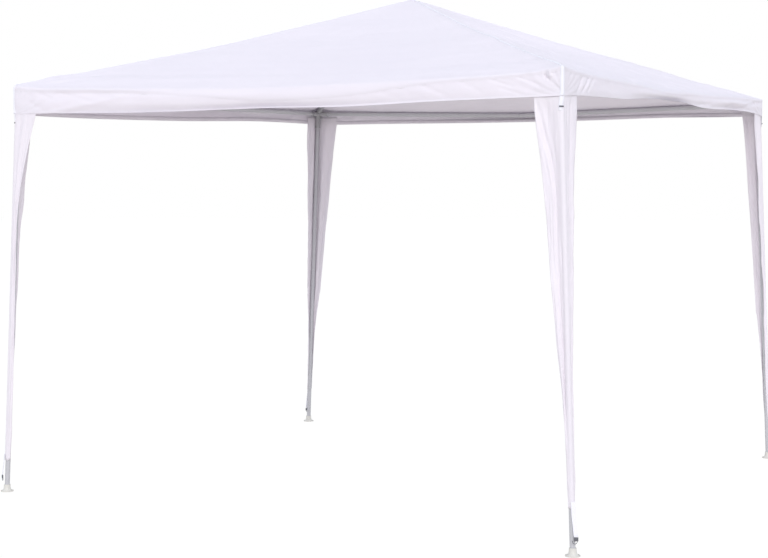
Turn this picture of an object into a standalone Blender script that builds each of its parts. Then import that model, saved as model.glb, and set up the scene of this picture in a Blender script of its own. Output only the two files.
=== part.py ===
"""Garden gazebo, 3 m square: a push-together tube frame under a pyramid cover.

The origin is the middle of the footprint on the ground, +Z is up and lengths are metres.
The front side faces -Y and the right side faces +X.

Four legs lean outward a little from the corners of the cover to round feet. A corner fitting on
each leg takes two eave poles and, a little higher, a roof pole that climbs to the crown fitting.
Every pole is two tubes, one swaged to push into the other; the eave poles and the roof poles sag
at their loose middle joints. The cover is four roof panels, a valance on each side and a tapered
skirt sewn under it at each corner. It has slipped forward a little, so its hem hangs lower in front.
"""

import math

import bmesh
import bpy
from mathutils import Matrix, Vector

# Cover
CANOPY_HALF = 1.500
CORNER_Z = 2.080
APEX_Z = 2.585
SHEET = 0.003
EAVE_SAG = {"front": 0.037, "right": 0.016, "back": 0.037, "left": 0.016}
EAVE_SAG_POWER = 1.2
PANEL_SAG_POWER = 1.5
CORNER_LIFT = 0.018
CORNER_LIFT_POWER = 16
CORNER_LIFT_FADE = 6
HIP_DIP = 0.0065
HIP_DIP_POWER = 4
HEM_Z = {"front_right": 1.953, "back_right": 1.984, "back_left": 1.984, "front_left": 1.932}
HEM_SAG = 0.008
PANEL_COLUMNS = 12
PANEL_ROWS = 6
VALANCE_ROWS = 1

# Leg skirts: reach is the width of a wing past the leg's axis
SKIRT_BOTTOM_Z = 0.200
SKIRT_REACH_TOP = 0.125
SKIRT_REACH_BOTTOM = 0.018
SKIRT_TAPER_POWER = 1.9
SKIRT_STAND_OFF = 0.0165
SKIRT_WING_COLUMNS = 2
SKIRT_ROWS = 7
STRAP_WIDTH = 0.018
STRAP_THICKNESS = 0.0017
STRAP_STAND_OFF = 0.019
STRAP_OVERLAP = 0.015
STRAP_BOTTOM_Z = 0.070

# Tubes
TUBE_RADIUS = 0.0125
TUBE_WALL = 0.0012
TUBE_SIDES = 12
SWAGE_LENGTH = 0.040
SWAGE_SHOULDER = 0.004
FIT = 0.0003
LOOSE_PLUG_RADIUS = 0.0099
LOOSE_JOINT_GAP = 0.0009

# Frame lines
POST_INSET = 0.0245
EAVE_AXIS_Z = 2.0515
EAVE_POLE_DROP = 0.009
HIP_AXIS_DROP = 0.0235
HIP_SAG = {"front_right": 0.010, "back_right": 0.005, "back_left": 0.010, "front_left": 0.020}
FOOT_X = 1.563
FOOT_Y = 1.500

# Corner and crown fittings
ARM_RADIUS = 0.0150
POST_RADIUS = 0.0163
BORE_RADIUS = TUBE_RADIUS + FIT
ARM_LENGTH = 0.075
ARM_BORE_START = 0.034
POST_BORE_DROP = 0.035
POST_LENGTH = 0.090
CROWN_RADIUS = 0.0175
CROWN_BORE_START = 0.030
DOME_STEPS = 4

# Feet
FOOT_RADIUS = 0.033
FOOT_RIM = 0.004
FOOT_COLLAR_RADIUS = 0.021
FOOT_COLLAR_Z = 0.009
FOOT_NECK_Z = 0.022
FOOT_HEIGHT = 0.036
FOOT_SLEEVE_RADIUS = 0.0165
FOOT_BORE_START = 0.007
FOOT_SIDES = 24

SIDES = ("front", "right", "back", "left")
CORNERS = {
    "front_right": (1, -1),
    "back_right": (1, 1),
    "back_left": (-1, 1),
    "front_left": (-1, -1),
}


def clear_scene():
    for obj in list(bpy.data.objects):
        bpy.data.objects.remove(obj, do_unlink=True)


def new_collection(name):
    collection = bpy.data.collections.new(name)
    bpy.context.scene.collection.children.link(collection)
    return collection


def finish(name, colour, roughness, metallic=0.0):
    """A plain Principled material; colour is linear red, green and blue."""
    material = bpy.data.materials.new(name)
    material.use_nodes = True
    shader = material.node_tree.nodes["Principled BSDF"]
    shader.inputs["Base Color"].default_value = (*colour, 1.0)
    shader.inputs["Roughness"].default_value = roughness
    shader.inputs["Metallic"].default_value = metallic
    return material


def along(start, end):
    """Matrix at start whose Z axis points to end and whose X axis stays level."""
    z_axis = (end - start).normalized()
    steep = abs(z_axis.z) > 0.9
    guide = Vector((0, 1, 0)) if steep else Vector((0, 0, 1))
    x_axis = guide.cross(z_axis).normalized()
    y_axis = z_axis.cross(x_axis)
    matrix = Matrix((x_axis, y_axis, z_axis)).transposed().to_4x4()
    matrix.translation = start
    return matrix


def toward(start, end, distance):
    return start + (end - start).normalized() * distance


class Workshop:
    """Holds the two collections and makes objects in them."""

    def __init__(self):
        self.parts = new_collection("garden_gazebo")
        self.cutters = new_collection("cutters")

    def add(self, name, mesh, material, matrix=Matrix()):
        obj = bpy.data.objects.new(name, mesh)
        obj.data.materials.append(material)
        obj.matrix_world = matrix
        self.parts.objects.link(obj)
        return obj

    def add_cutter(self, name, mesh):
        obj = bpy.data.objects.new(name, mesh)
        obj.hide_render = True
        obj.display_type = "WIRE"
        self.cutters.objects.link(obj)
        return obj

    def turned(self, name, outline, material, matrix, sides, closed):
        """Turns an outline of (radius, height) points, outer side first and downward."""
        bm = bmesh.new()
        verts = [bm.verts.new((radius, 0, height)) for radius, height in outline]
        for first, second in zip(verts, verts[1:]):
            bm.edges.new((first, second))
        if closed:
            bm.edges.new((verts[-1], verts[0]))
        mesh = bpy.data.meshes.new(name)
        bm.to_mesh(mesh)
        bm.free()
        obj = self.add(name, mesh, material, matrix)
        screw = obj.modifiers.new("Turn", "SCREW")
        screw.axis = "Z"
        screw.steps = sides
        screw.render_steps = sides
        screw.use_merge_vertices = True
        screw.merge_threshold = 0.00005
        return obj

    def boolean(self, obj, operation, name, mesh):
        """Joins a mesh to the object, or cuts it away, in world coordinates."""
        modifier = obj.modifiers.new(name, "BOOLEAN")
        modifier.operation = operation
        modifier.solver = "EXACT"
        modifier.use_self = operation == "UNION"
        modifier.object = self.add_cutter(name, mesh)


def rods_mesh(name, rods):
    """Round bars in one mesh; each rod is (start, end, radius)."""
    bm = bmesh.new()
    for start, end, radius in rods:
        length = (end - start).length
        bmesh.ops.create_cone(
            bm,
            cap_ends=True,
            segments=TUBE_SIDES,
            radius1=radius,
            radius2=radius,
            depth=length,
            matrix=along(start, end) @ Matrix.Translation((0, 0, length / 2)),
        )
    mesh = bpy.data.meshes.new(name)
    bm.to_mesh(mesh)
    bm.free()
    return mesh


def tube(shop, name, start, end, material, plug=0.0):
    """A pole tube; with a plug radius it narrows past its end to push into the next tube."""
    length = (end - start).length
    bore = TUBE_RADIUS - TUBE_WALL
    outer = [(TUBE_RADIUS, length), (TUBE_RADIUS, 0)]
    inner = [(bore, 0), (bore, length)]
    if plug:
        plug_bore = plug - TUBE_WALL
        tip = length + SWAGE_LENGTH
        shoulder = length - SWAGE_SHOULDER
        outer = [(plug, tip), (plug, length), (TUBE_RADIUS, shoulder), (TUBE_RADIUS, 0)]
        inner = [(bore, 0), (bore, shoulder), (plug_bore, length), (plug_bore, tip)]
    shop.turned(name, outer + inner, material, along(start, end), TUBE_SIDES, True)


def pole_pair(shop, names, ends, offsets, material):
    """Two tubes on one line that meet half way, the second swaged into the first."""
    start = toward(ends[0], ends[1], offsets[0] + FIT)
    end = toward(ends[1], ends[0], offsets[1] + FIT)
    joint = (start + end) / 2
    tube(shop, names[0], start, toward(joint, start, FIT), material)
    tube(shop, names[1], end, joint, material, TUBE_RADIUS - TUBE_WALL - FIT)


def loose_pair(shop, names, ends, offsets, middle, material):
    """Two straight tubes in a shallow V, the second swaged to push loosely into the first."""
    start = toward(ends[0], middle, offsets[0] + FIT)
    end = toward(ends[1], middle, offsets[1] + FIT)
    mouth = toward(middle, ends[0], LOOSE_JOINT_GAP - SWAGE_LENGTH / 2)
    shoulder = toward(middle, ends[1], SWAGE_LENGTH / 2)
    tube(shop, names[0], start, mouth, material)
    tube(shop, names[1], end, shoulder, material, LOOSE_PLUG_RADIUS)


def hip_line(distance):
    """Height of the straight roof edge that climbs from a corner to the peak."""
    climbed = 1 - distance / CANOPY_HALF
    return CORNER_Z + (APEX_Z - CORNER_Z) * climbed


def eave_point(sign_x, sign_y):
    reach = CANOPY_HALF - POST_INSET
    return Vector((sign_x * reach, sign_y * reach, EAVE_AXIS_Z))


def hip_point(sign_x, sign_y):
    reach = CANOPY_HALF - POST_INSET
    return Vector((sign_x * reach, sign_y * reach, hip_line(reach) - HIP_AXIS_DROP))


def foot_point(sign_x, sign_y):
    return Vector((sign_x * FOOT_X, sign_y * FOOT_Y, 0))


def crown_point():
    return Vector((0, 0, APEX_Z - HIP_AXIS_DROP))


def hip_middle(corner):
    """Where a corner's two roof tubes meet, below the straight line from fitting to crown."""
    middle = (hip_point(*CORNERS[corner]) + crown_point()) / 2
    return middle - Vector((0, 0, HIP_SAG[corner]))


def side_ends(side):
    """The corners at a side's left and right ends as seen from outside."""
    corners = list(CORNERS)
    index = SIDES.index(side)
    return corners[index - 1], corners[index]


def eave_drops(side, u):
    """How far an eave hangs below its corners: by its pole's sag, and past the lift at a corner."""
    sag = EAVE_SAG[side] * (1 - abs(u) ** EAVE_SAG_POWER)
    lift = CORNER_LIFT * (1 - abs(u) ** CORNER_LIFT_POWER)
    return sag, lift


def crease(side, u):
    """Height of the fold between roof and valance; u runs from -1 to 1 along a side."""
    return CORNER_Z - sum(eave_drops(side, u))


def hem(left_z, right_z, u):
    """Height of a hem between two corners' heights."""
    return left_z + (right_z - left_z) * (u + 1) / 2 - HEM_SAG * (1 - u * u)


def toward_corners(u):
    """Brings the columns of a side closer together near the corners, where the eave turns up."""
    return math.sin(u * math.pi / 2)


def sheet_mesh(name, columns, rows, outer, inner):
    """A closed sheet between two faces, each a function of u in -1 to 1 and v in 0 to 1."""
    bm = bmesh.new()
    bmesh.ops.create_grid(bm, x_segments=columns, y_segments=rows, size=1)
    grid = bm.verts[:] + bm.edges[:] + bm.faces[:]
    copied = bmesh.ops.extrude_face_region(bm, geom=grid, use_keep_orig=True)["geom"]
    back = {item for item in copied if isinstance(item, bmesh.types.BMVert)}
    for vert in bm.verts:
        u = vert.co.x
        v = (vert.co.y + 1) / 2
        vert.co = inner(u, v) if vert in back else outer(u, v)
    bmesh.ops.remove_doubles(bm, verts=bm.verts[:], dist=0.00005)
    bmesh.ops.recalc_face_normals(bm, faces=bm.faces[:])
    mesh = bpy.data.meshes.new(name)
    bm.to_mesh(mesh)
    bm.free()
    return mesh


def roof_faces(side):
    """Outer and inner face of a roof panel: rows between its sagging hips, hanging low at the eave."""
    left, right = side_ends(side)

    def outer(u, v):
        u = toward_corners(u)
        distance = CANOPY_HALF - v * (CANOPY_HALF - FIT)
        half_width = distance - FIT
        along_hip = 1 - distance / CANOPY_HALF
        dip = HIP_DIP * (1 - abs(2 * along_hip - 1) ** HIP_DIP_POWER)
        hip_sag = (HIP_SAG[left] * (1 - u) + HIP_SAG[right] * (1 + u)) / 2
        dip += hip_sag * (1 - abs(2 * along_hip - 1))
        sag, lift = eave_drops(side, u)
        drop = dip + sag * (1 - v) ** PANEL_SAG_POWER + lift * (1 - v) ** CORNER_LIFT_FADE
        return Vector((u * half_width, -distance, hip_line(distance) - drop))

    return outer, (lambda u, v: outer(u, v) - Vector((0, 0, SHEET)))


def valance_faces(side):
    """Outer and inner face of a valance: from its hem up to just under the roof panel's edge."""
    left, right = side_ends(side)

    def place(u, v, inset):
        u = toward_corners(u)
        low = hem(HEM_Z[left], HEM_Z[right], u)
        top = crease(side, u) - SHEET - FIT
        half_width = (CANOPY_HALF - FIT) * (1 - inset / CANOPY_HALF)
        return Vector((u * half_width, inset - CANOPY_HALF, low + v * (top - low)))

    return (lambda u, v: place(u, v, 0)), (lambda u, v: place(u, v, SHEET))


def skirt_faces(corner):
    """Outer and inner face of one corner's skirt: two wings that meet outside the leg."""
    sign_x, sign_y = CORNERS[corner]
    top = eave_point(sign_x, sign_y)
    foot = foot_point(sign_x, sign_y)
    heights = {signs: HEM_Z[name] for name, signs in CORNERS.items()}

    def place(u, v, inset):
        reach = SKIRT_REACH_BOTTOM + (SKIRT_REACH_TOP - SKIRT_REACH_BOTTOM) * v ** SKIRT_TAPER_POWER
        across = 1 - abs(u) * (reach + POST_INSET) / CANOPY_HALF
        next_z = heights[(-sign_x, sign_y) if u < 0 else (sign_x, -sign_y)]
        top_z = hem(next_z, HEM_Z[corner], across) - 2 * FIT
        height = SKIRT_BOTTOM_Z + v * (top_z - SKIRT_BOTTOM_Z)
        axis = top.lerp(foot, (EAVE_AXIS_Z - height) / EAVE_AXIS_Z)
        stand_off = SKIRT_STAND_OFF + (POST_INSET - SKIRT_STAND_OFF) * v
        corner_x = axis.x + sign_x * stand_off
        corner_y = axis.y + sign_y * stand_off
        wing = abs(u) * (reach + stand_off)
        run_x = wing if u < 0 else 0
        run_y = wing if u > 0 else 0
        inset_x = inset if u >= 0 else 0
        inset_y = inset if u <= 0 else 0
        x = corner_x - sign_x * (run_x + inset_x)
        y = corner_y - sign_y * (run_y + inset_y)
        return Vector((x, y, height))

    return (lambda u, v: place(u, v, 0)), (lambda u, v: place(u, v, SHEET))


def strap_mesh(name, sign_x, sign_y):
    """Flat tie strap that hangs from the skirt's foot outside the leg, facing the corner."""
    top_z = SKIRT_BOTTOM_Z + STRAP_OVERLAP
    length = top_z - STRAP_BOTTOM_Z
    top = eave_point(sign_x, sign_y)
    foot = foot_point(sign_x, sign_y)
    upper = top.lerp(foot, (EAVE_AXIS_Z - top_z) / EAVE_AXIS_Z)
    lower = top.lerp(foot, (EAVE_AXIS_Z - STRAP_BOTTOM_Z) / EAVE_AXIS_Z)
    shift = Vector((sign_x, sign_y, 0)).normalized() * STRAP_STAND_OFF
    facing = Matrix.Rotation(-sign_x * sign_y * math.pi / 4, 4, "Z")
    middle = Matrix.Translation((0, 0, length / 2))
    size = Matrix.Diagonal((STRAP_WIDTH, STRAP_THICKNESS, length, 1))
    bm = bmesh.new()
    bmesh.ops.create_cube(bm, size=1)
    place = along(lower + shift, upper + shift) @ facing @ middle @ size
    bmesh.ops.transform(bm, verts=bm.verts[:], matrix=place)
    mesh = bpy.data.meshes.new(name)
    bm.to_mesh(mesh)
    bm.free()
    return mesh


def build_feet(shop, plastic):
    """Round foot plates with a socket that leans with the leg."""
    outline = [
        (0, FOOT_HEIGHT),
        (FOOT_SLEEVE_RADIUS, FOOT_HEIGHT),
        (FOOT_SLEEVE_RADIUS, FOOT_NECK_Z),
        (FOOT_COLLAR_RADIUS, FOOT_COLLAR_Z),
        (FOOT_RADIUS, FOOT_RIM),
        (FOOT_RADIUS, 0),
        (0, 0),
    ]
    for corner, signs in CORNERS.items():
        ground = foot_point(*signs)
        top = eave_point(*signs)
        centre = ground.lerp(top, FOOT_HEIGHT / 2 / EAVE_AXIS_Z)
        centre.z = 0
        name = "foot_" + corner
        foot = shop.turned(name, outline, plastic, Matrix.Translation(centre), FOOT_SIDES, False)
        bore = (toward(ground, top, FOOT_BORE_START), toward(ground, top, 2 * FOOT_HEIGHT), BORE_RADIUS)
        shop.boolean(foot, "DIFFERENCE", name + "_bore", rods_mesh(name + "_bore", [bore]))


def build_legs(shop, steel):
    for corner, signs in CORNERS.items():
        names = ("leg_lower_" + corner, "leg_upper_" + corner)
        ends = (foot_point(*signs), eave_point(*signs))
        pole_pair(shop, names, ends, (FOOT_BORE_START, POST_BORE_DROP), steel)


def build_corner_fittings(shop, plastic):
    """A post over the leg, two arms for the eave poles and a higher one for the roof pole."""
    for corner, (sign_x, sign_y) in CORNERS.items():
        eave = eave_point(sign_x, sign_y)
        hip = hip_point(sign_x, sign_y)
        foot = foot_point(sign_x, sign_y)
        arm_ends = [(eave, eave_middle(side)) for side in SIDES if corner in side_ends(side)]
        arm_ends.append((hip, hip_middle(corner)))
        rise = hip.z - eave.z
        dome = [
            (POST_RADIUS * math.sin(angle), rise + POST_RADIUS * math.cos(angle))
            for angle in (math.pi / 2 * step / DOME_STEPS for step in range(DOME_STEPS + 1))
        ]
        outline = dome + [(POST_RADIUS, -POST_LENGTH), (0, -POST_LENGTH)]
        name = "corner_fitting_" + corner
        upright = along(eave, eave - (foot - eave))
        fitting = shop.turned(name, outline, plastic, upright, TUBE_SIDES, False)
        arms = [(start, toward(start, end, ARM_LENGTH), ARM_RADIUS) for start, end in arm_ends]
        bores = [
            (toward(start, end, ARM_BORE_START), toward(start, end, 2 * ARM_LENGTH), BORE_RADIUS)
            for start, end in arm_ends
        ]
        bores.append((toward(eave, foot, POST_BORE_DROP), toward(eave, foot, 2 * POST_LENGTH), BORE_RADIUS))
        shop.boolean(fitting, "UNION", name + "_arms", rods_mesh(name + "_arms", arms))
        shop.boolean(fitting, "DIFFERENCE", name + "_bores", rods_mesh(name + "_bores", bores))


def eave_middle(side):
    """Where a side's two eave tubes meet: under the middle of the sagging eave."""
    left, right = (eave_point(*CORNERS[corner]) for corner in side_ends(side))
    middle = (left + right) / 2
    middle.z = crease(side, 0) - EAVE_POLE_DROP
    return middle


def build_eave_poles(shop, steel):
    """Two straight tubes to a side whose loose joint lets the pole sag at the middle."""
    for side in SIDES:
        left, right = (eave_point(*CORNERS[corner]) for corner in side_ends(side))
        names = ("eave_pole_" + side + "_a", "eave_pole_" + side + "_b")
        offsets = (ARM_BORE_START, ARM_BORE_START)
        loose_pair(shop, names, (left, right), offsets, eave_middle(side), steel)


def build_roof_poles(shop, steel):
    """Two tubes to a hip, which sag at their joint as the eave poles do."""
    for corner, signs in CORNERS.items():
        names = ("roof_pole_lower_" + corner, "roof_pole_upper_" + corner)
        ends = (hip_point(*signs), crown_point())
        offsets = (ARM_BORE_START, CROWN_BORE_START)
        loose_pair(shop, names, ends, offsets, hip_middle(corner), steel)


def build_crown(shop, plastic):
    """A ball with four arms that slope down to the roof poles."""
    centre = crown_point()
    name = "crown_fitting"
    outline = [
        (CROWN_RADIUS * math.sin(angle), CROWN_RADIUS * math.cos(angle))
        for angle in (math.pi * step / (2 * DOME_STEPS) for step in range(2 * DOME_STEPS + 1))
    ]
    crown = shop.turned(name, outline, plastic, Matrix.Translation(centre), TUBE_SIDES, False)
    ends = [hip_middle(corner) for corner in CORNERS]
    arms = [(centre, toward(centre, end, ARM_LENGTH), ARM_RADIUS) for end in ends]
    bores = [
        (toward(centre, end, CROWN_BORE_START), toward(centre, end, 2 * ARM_LENGTH), BORE_RADIUS)
        for end in ends
    ]
    shop.boolean(crown, "UNION", name + "_arms", rods_mesh(name + "_arms", arms))
    shop.boolean(crown, "DIFFERENCE", name + "_bores", rods_mesh(name + "_bores", bores))


def build_cover(shop, roof_sheet, valance_sheet):
    """A roof panel and a valance on each side, made as the front side's and turned into place."""
    for index, side in enumerate(SIDES):
        turn = Matrix.Rotation(math.pi / 2 * index, 4, "Z")
        roof = sheet_mesh("roof_panel_" + side, PANEL_COLUMNS, PANEL_ROWS, *roof_faces(side))
        valance = sheet_mesh("valance_" + side, PANEL_COLUMNS, VALANCE_ROWS, *valance_faces(side))
        shop.add("roof_panel_" + side, roof, roof_sheet, turn)
        shop.add("valance_" + side, valance, valance_sheet, turn)


def build_skirts(shop, sheet):
    for corner, signs in CORNERS.items():
        name = "leg_skirt_" + corner
        mesh = sheet_mesh(name, 2 * SKIRT_WING_COLUMNS, SKIRT_ROWS, *skirt_faces(corner))
        skirt = shop.add(name, mesh, sheet)
        shop.boolean(skirt, "UNION", name + "_strap", strap_mesh(name + "_strap", *signs))


def main():
    clear_scene()
    shop = Workshop()
    steel = finish("white_coated_steel", (0.80, 0.80, 0.81), 0.38)
    fitting_plastic = finish("grey_fitting_plastic", (0.42, 0.42, 0.43), 0.50)
    foot_plastic = finish("pale_foot_plastic", (0.66, 0.65, 0.62), 0.50)
    roof_sheet = finish("white_roof_sheet", (0.84, 0.85, 0.88), 0.42)
    valance_sheet = finish("white_valance_sheet", (0.82, 0.82, 0.84), 0.45)
    skirt_sheet = finish("white_skirt_sheet", (0.83, 0.83, 0.85), 0.45)
    build_feet(shop, foot_plastic)
    build_legs(shop, steel)
    build_corner_fittings(shop, fitting_plastic)
    build_eave_poles(shop, steel)
    build_roof_poles(shop, steel)
    build_crown(shop, fitting_plastic)
    build_cover(shop, roof_sheet, valance_sheet)
    build_skirts(shop, skirt_sheet)


main()
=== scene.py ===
"""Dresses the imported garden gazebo: sheet cover, leg skirts, straps, round tubes and a studio.

Lengths are metres and +Z is up. The front side faces -Y and the right side faces +X. Each side of
the cover runs from a turned-in hem up the valance, rolls over the eave pole and climbs to the peak.
It is shaped as the front side and then turned into its place. Along a side, u runs from -1 at its
left end, seen from outside, to 1 at its right end.
"""

import functools
import math

import bmesh
import bpy
import numpy as np
from mathutils import Matrix, Vector, noise


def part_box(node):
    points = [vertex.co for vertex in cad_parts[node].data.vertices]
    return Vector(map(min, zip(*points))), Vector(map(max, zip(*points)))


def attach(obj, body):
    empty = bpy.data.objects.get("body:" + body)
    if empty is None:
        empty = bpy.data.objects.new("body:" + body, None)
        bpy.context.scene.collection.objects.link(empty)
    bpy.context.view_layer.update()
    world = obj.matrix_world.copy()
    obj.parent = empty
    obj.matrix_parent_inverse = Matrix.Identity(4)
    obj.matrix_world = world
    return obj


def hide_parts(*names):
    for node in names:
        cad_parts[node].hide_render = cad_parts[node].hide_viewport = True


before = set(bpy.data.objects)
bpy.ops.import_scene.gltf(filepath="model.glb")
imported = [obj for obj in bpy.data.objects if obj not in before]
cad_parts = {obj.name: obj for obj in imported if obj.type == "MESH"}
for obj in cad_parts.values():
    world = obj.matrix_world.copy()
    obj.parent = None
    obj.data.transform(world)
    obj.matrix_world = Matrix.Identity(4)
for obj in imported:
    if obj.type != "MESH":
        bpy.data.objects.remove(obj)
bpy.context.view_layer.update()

bl_info = {
    "name": "Garden gazebo",
    "version": (1, 0, 0),
    "blender": (4, 5, 0),
    "location": "3D View > Sidebar > Gazebo",
    "description": "Sheet cover, skirts, straps and fittings for a 3 m garden gazebo",
    "category": "Object",
}

SIDES = ("front", "right", "back", "left")
# The corner at the right-hand end of each side
CORNERS = {
    "front_right": (1, -1),
    "back_right": (1, 1),
    "back_left": (-1, 1),
    "front_left": (-1, -1),
}

# Places read from the frame
ROOF_LOW, ROOF_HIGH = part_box("roof_panel_front")
HALF = -ROOF_LOW.y
PEAK_Z = ROOF_HIGH.z


def points_of(node):
    return [vert.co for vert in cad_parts[node].data.vertices]


CORNER_Z = round(max(point.z for point in points_of("roof_panel_front") if point.y < 0.001 - HALF), 4)
HEM_Z = {
    corner: round(
        min(p.z for p in points_of("valance_" + side) if (p.xy - Vector(signs) * HALF).length < 0.005), 4
    )
    for side, (corner, signs) in zip(SIDES, CORNERS.items())
}

# Tubes and fittings
TUBE_RADIUS = 0.0125
TUBE_SIDES = 40
RIM_BEVEL = 0.0004
PUSH_IN = 0.0407
LEG_PUSH_IN = 0.0547
ARM_BACK = 0.0343
ARM_RADIUS = 0.0150
ARM_REACH = 0.075
POST_RADIUS = 0.0163
COLLAR_EXTRA = 0.0014
COLLAR_LENGTH = 0.007
BORE_RADIUS = 0.0128
CROWN_RADIUS = 0.0175
CROWN_REACH = 0.0447
FITTING_SIDES = 48
FOOT_SIDES = 96
FOOT_FLOOR = 0.007
FOOT_TOP = 0.036
BORE_OVERRUN = 0.01

# Cover: spacings are (up to this distance, step), from a corner for columns, from the eave for rows
CORNER_ROUND = 0.006
PEAK_ROUND = 0.010
HEM_TURN = 0.0024
HEM_DEPTH = 0.022
ROOF_ROWS = ((0.15, 0.0125), (1.5, 0.0185))
ROOF_COLUMNS = {
    "front": ((0.006, 0.003), (0.20, 0.012), (0.75, 0.026), (1.5, 0.044)),
    "right": ((0.006, 0.003), (0.10, 0.012), (1.5, 0.0155)),
    "back": ((0.006, 0.003), (0.10, 0.016), (1.5, 0.050)),
    "left": ((0.006, 0.003), (0.10, 0.016), (1.5, 0.050)),
}
# Valance columns from each corner; the folds near the front right corner are the sharpest
SHARP_COLUMNS = ((0.006, 0.002), (0.30, 0.0032), (0.80, 0.011), (1.5, 0.019))
SOFT_COLUMNS = ((0.006, 0.002), (0.38, 0.009), (1.5, 0.024))
VALANCE_STEPS = 34
ROLL_STEPS = 8
ROLL_GRIP = 0.62
ROLL_INWARD = 0.019
LAP_ROWS = 5
LAP_SHARE = 0.12
LAP_INSET = 0.0010
LAP_SUNK = 0.0013
CORNER_LIFT = 0.018
CORNER_LIFT_POWER = 16
CORNER_LIFT_FADE = 6
PANEL_SAG_POWER = 1.5
SLOPE = math.atan2(PEAK_Z - CORNER_Z, HALF)

# Skirts
SKIRT_COLUMNS = 34
SKIRT_ROWS = 150
SKIRT_TUCK = 0.045
STAND_BOTTOM = 0.0148
STAND_TOP = (0.0199, 0.0168)
LEG_CLEAR = 0.0141


class GazeboCover(bpy.types.PropertyGroup):
    """Sizes of the cover that a user would change."""

    sheet: bpy.props.FloatProperty(
        name="Sheet", description="Thickness of the cover's sheet", default=0.0008, unit="LENGTH"
    )
    belly: bpy.props.FloatProperty(
        name="Belly", description="Sag of a roof panel between its hips", default=0.009, unit="LENGTH"
    )
    wrinkle: bpy.props.FloatProperty(
        name="Wrinkles", description="Strength of the folds in the cover", default=1.0, min=0.0, max=2.0
    )
    seam: bpy.props.FloatProperty(
        name="Seam", description="Height of the felled seam along a hip", default=0.0018, unit="LENGTH"
    )


class GazeboSkirts(bpy.types.PropertyGroup):
    """Sizes of the leg skirts and their ties."""

    fold: bpy.props.FloatProperty(
        name="Folds", description="Strength of the folds in the skirts", default=1.0, min=0.0, max=2.0
    )
    strap_width: bpy.props.FloatProperty(
        name="Strap width", description="Width of the tie straps", default=0.019, unit="LENGTH"
    )
    tape_width: bpy.props.FloatProperty(
        name="Corner tape", description="Width of the tape down each corner", default=0.024, unit="LENGTH"
    )


class GazeboStudio(bpy.types.PropertyGroup):
    """Camera and light."""

    camera_place: bpy.props.FloatVectorProperty(
        name="Camera", description="Place of the camera", default=(4.23, -8.092, 1.563), subtype="XYZ"
    )
    camera_turn: bpy.props.FloatProperty(
        name="Turn", description="Camera's turn to the left", default=math.radians(28.55), subtype="ANGLE"
    )
    camera_pitch: bpy.props.FloatProperty(
        name="Pitch", description="Camera's tilt upward", default=math.radians(-3.1), subtype="ANGLE"
    )
    camera_roll: bpy.props.FloatProperty(
        name="Roll", description="Camera's roll", default=math.radians(0.16), subtype="ANGLE"
    )
    lens: bpy.props.FloatProperty(
        name="Lens", description="Focal length on a 36 mm sensor, in mm", default=78.55
    )
    ambient: bpy.props.FloatProperty(
        name="Ambient", description="Strength of the even studio light", default=0.985
    )
    key: bpy.props.FloatProperty(
        name="Key", description="Strength of the soft key light", default=1.31
    )
    floor_radius: bpy.props.FloatProperty(
        name="Floor", description="Radius of the pale floor", default=75.0, unit="LENGTH"
    )


def linear(colour):
    """Linear red, green and blue of an sRGB hex colour, with alpha 1."""
    values = [int(colour[i : i + 2], 16) / 255 for i in (1, 3, 5)]
    return (*[v / 12.92 if v <= 0.04045 else ((v + 0.055) / 1.055) ** 2.4 for v in values], 1.0)


def smooth(low, high, value):
    share = min(1.0, max(0.0, (value - low) / (high - low)))
    return share * share * (3 - 2 * share)


def hump(value, centre, width):
    """A soft ridge: 1 at the centre and near 0 two widths away."""
    return math.exp(-(((value - centre) / width) ** 2))


def curve_at(points, x):
    """Value at x of a smooth curve through points of (x, value) in rising order."""
    last = len(points) - 1
    index = sum(x > point[0] for point in points[1:-1])
    (x1, y1), (x2, y2) = points[index : index + 2]
    slopes = []
    for i in (index, index + 1):
        (xa, ya), (xb, yb) = points[max(0, i - 1)], points[min(last, i + 1)]
        slopes.append((yb - ya) / (xb - xa) * (x2 - x1))
    t = min(1.0, max(0.0, (x - x1) / (x2 - x1)))
    rise = t * t * (3 - 2 * t)
    return y1 + (y2 - y1) * rise + slopes[0] * t * (1 - t) ** 2 - slopes[1] * t * t * (1 - t)


def spaced(bands):
    """Distances from 0 whose steps follow the bands of (up to, step)."""
    values = [0.0]
    for end, step in bands:
        start = values[-1]
        count = max(1, round((end - start) / step))
        values += [start + (end - start) * i / count for i in range(1, count + 1)]
    return values


def along(start, end):
    """Matrix at start whose Z axis points to end and whose X axis stays level."""
    z_axis = (end - start).normalized()
    guide = Vector((0, 1, 0)) if abs(z_axis.z) > 0.9 else Vector((0, 0, 1))
    x_axis = guide.cross(z_axis).normalized()
    matrix = Matrix((x_axis, z_axis.cross(x_axis), z_axis)).transposed().to_4x4()
    matrix.translation = start
    return matrix


def to_mesh(name, bm, sharp_angle=None):
    """The bmesh as a smooth mesh, with edges past the angle kept sharp."""
    mesh = bpy.data.meshes.new(name)
    bm.to_mesh(mesh)
    bm.free()
    mesh.shade_smooth()
    if sharp_angle is not None:
        mesh.set_sharp_from_angle(angle=math.radians(sharp_angle))
    return mesh


def add_piece(name, mesh, material, replaces=()):
    piece = bpy.data.objects.new(name, mesh)
    mesh.materials.append(material)
    bpy.context.scene.collection.objects.link(piece)
    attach(piece, "root")
    if replaces:
        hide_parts(*replaces)
    return piece


def thicken(piece, thickness, offset=-1.0):
    """Gives a sheet its thickness; with offset -1 the modelled face stays the outer one."""
    solidify = piece.modifiers.new("Thickness", "SOLIDIFY")
    solidify.thickness = thickness
    solidify.offset = offset
    return piece


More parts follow.
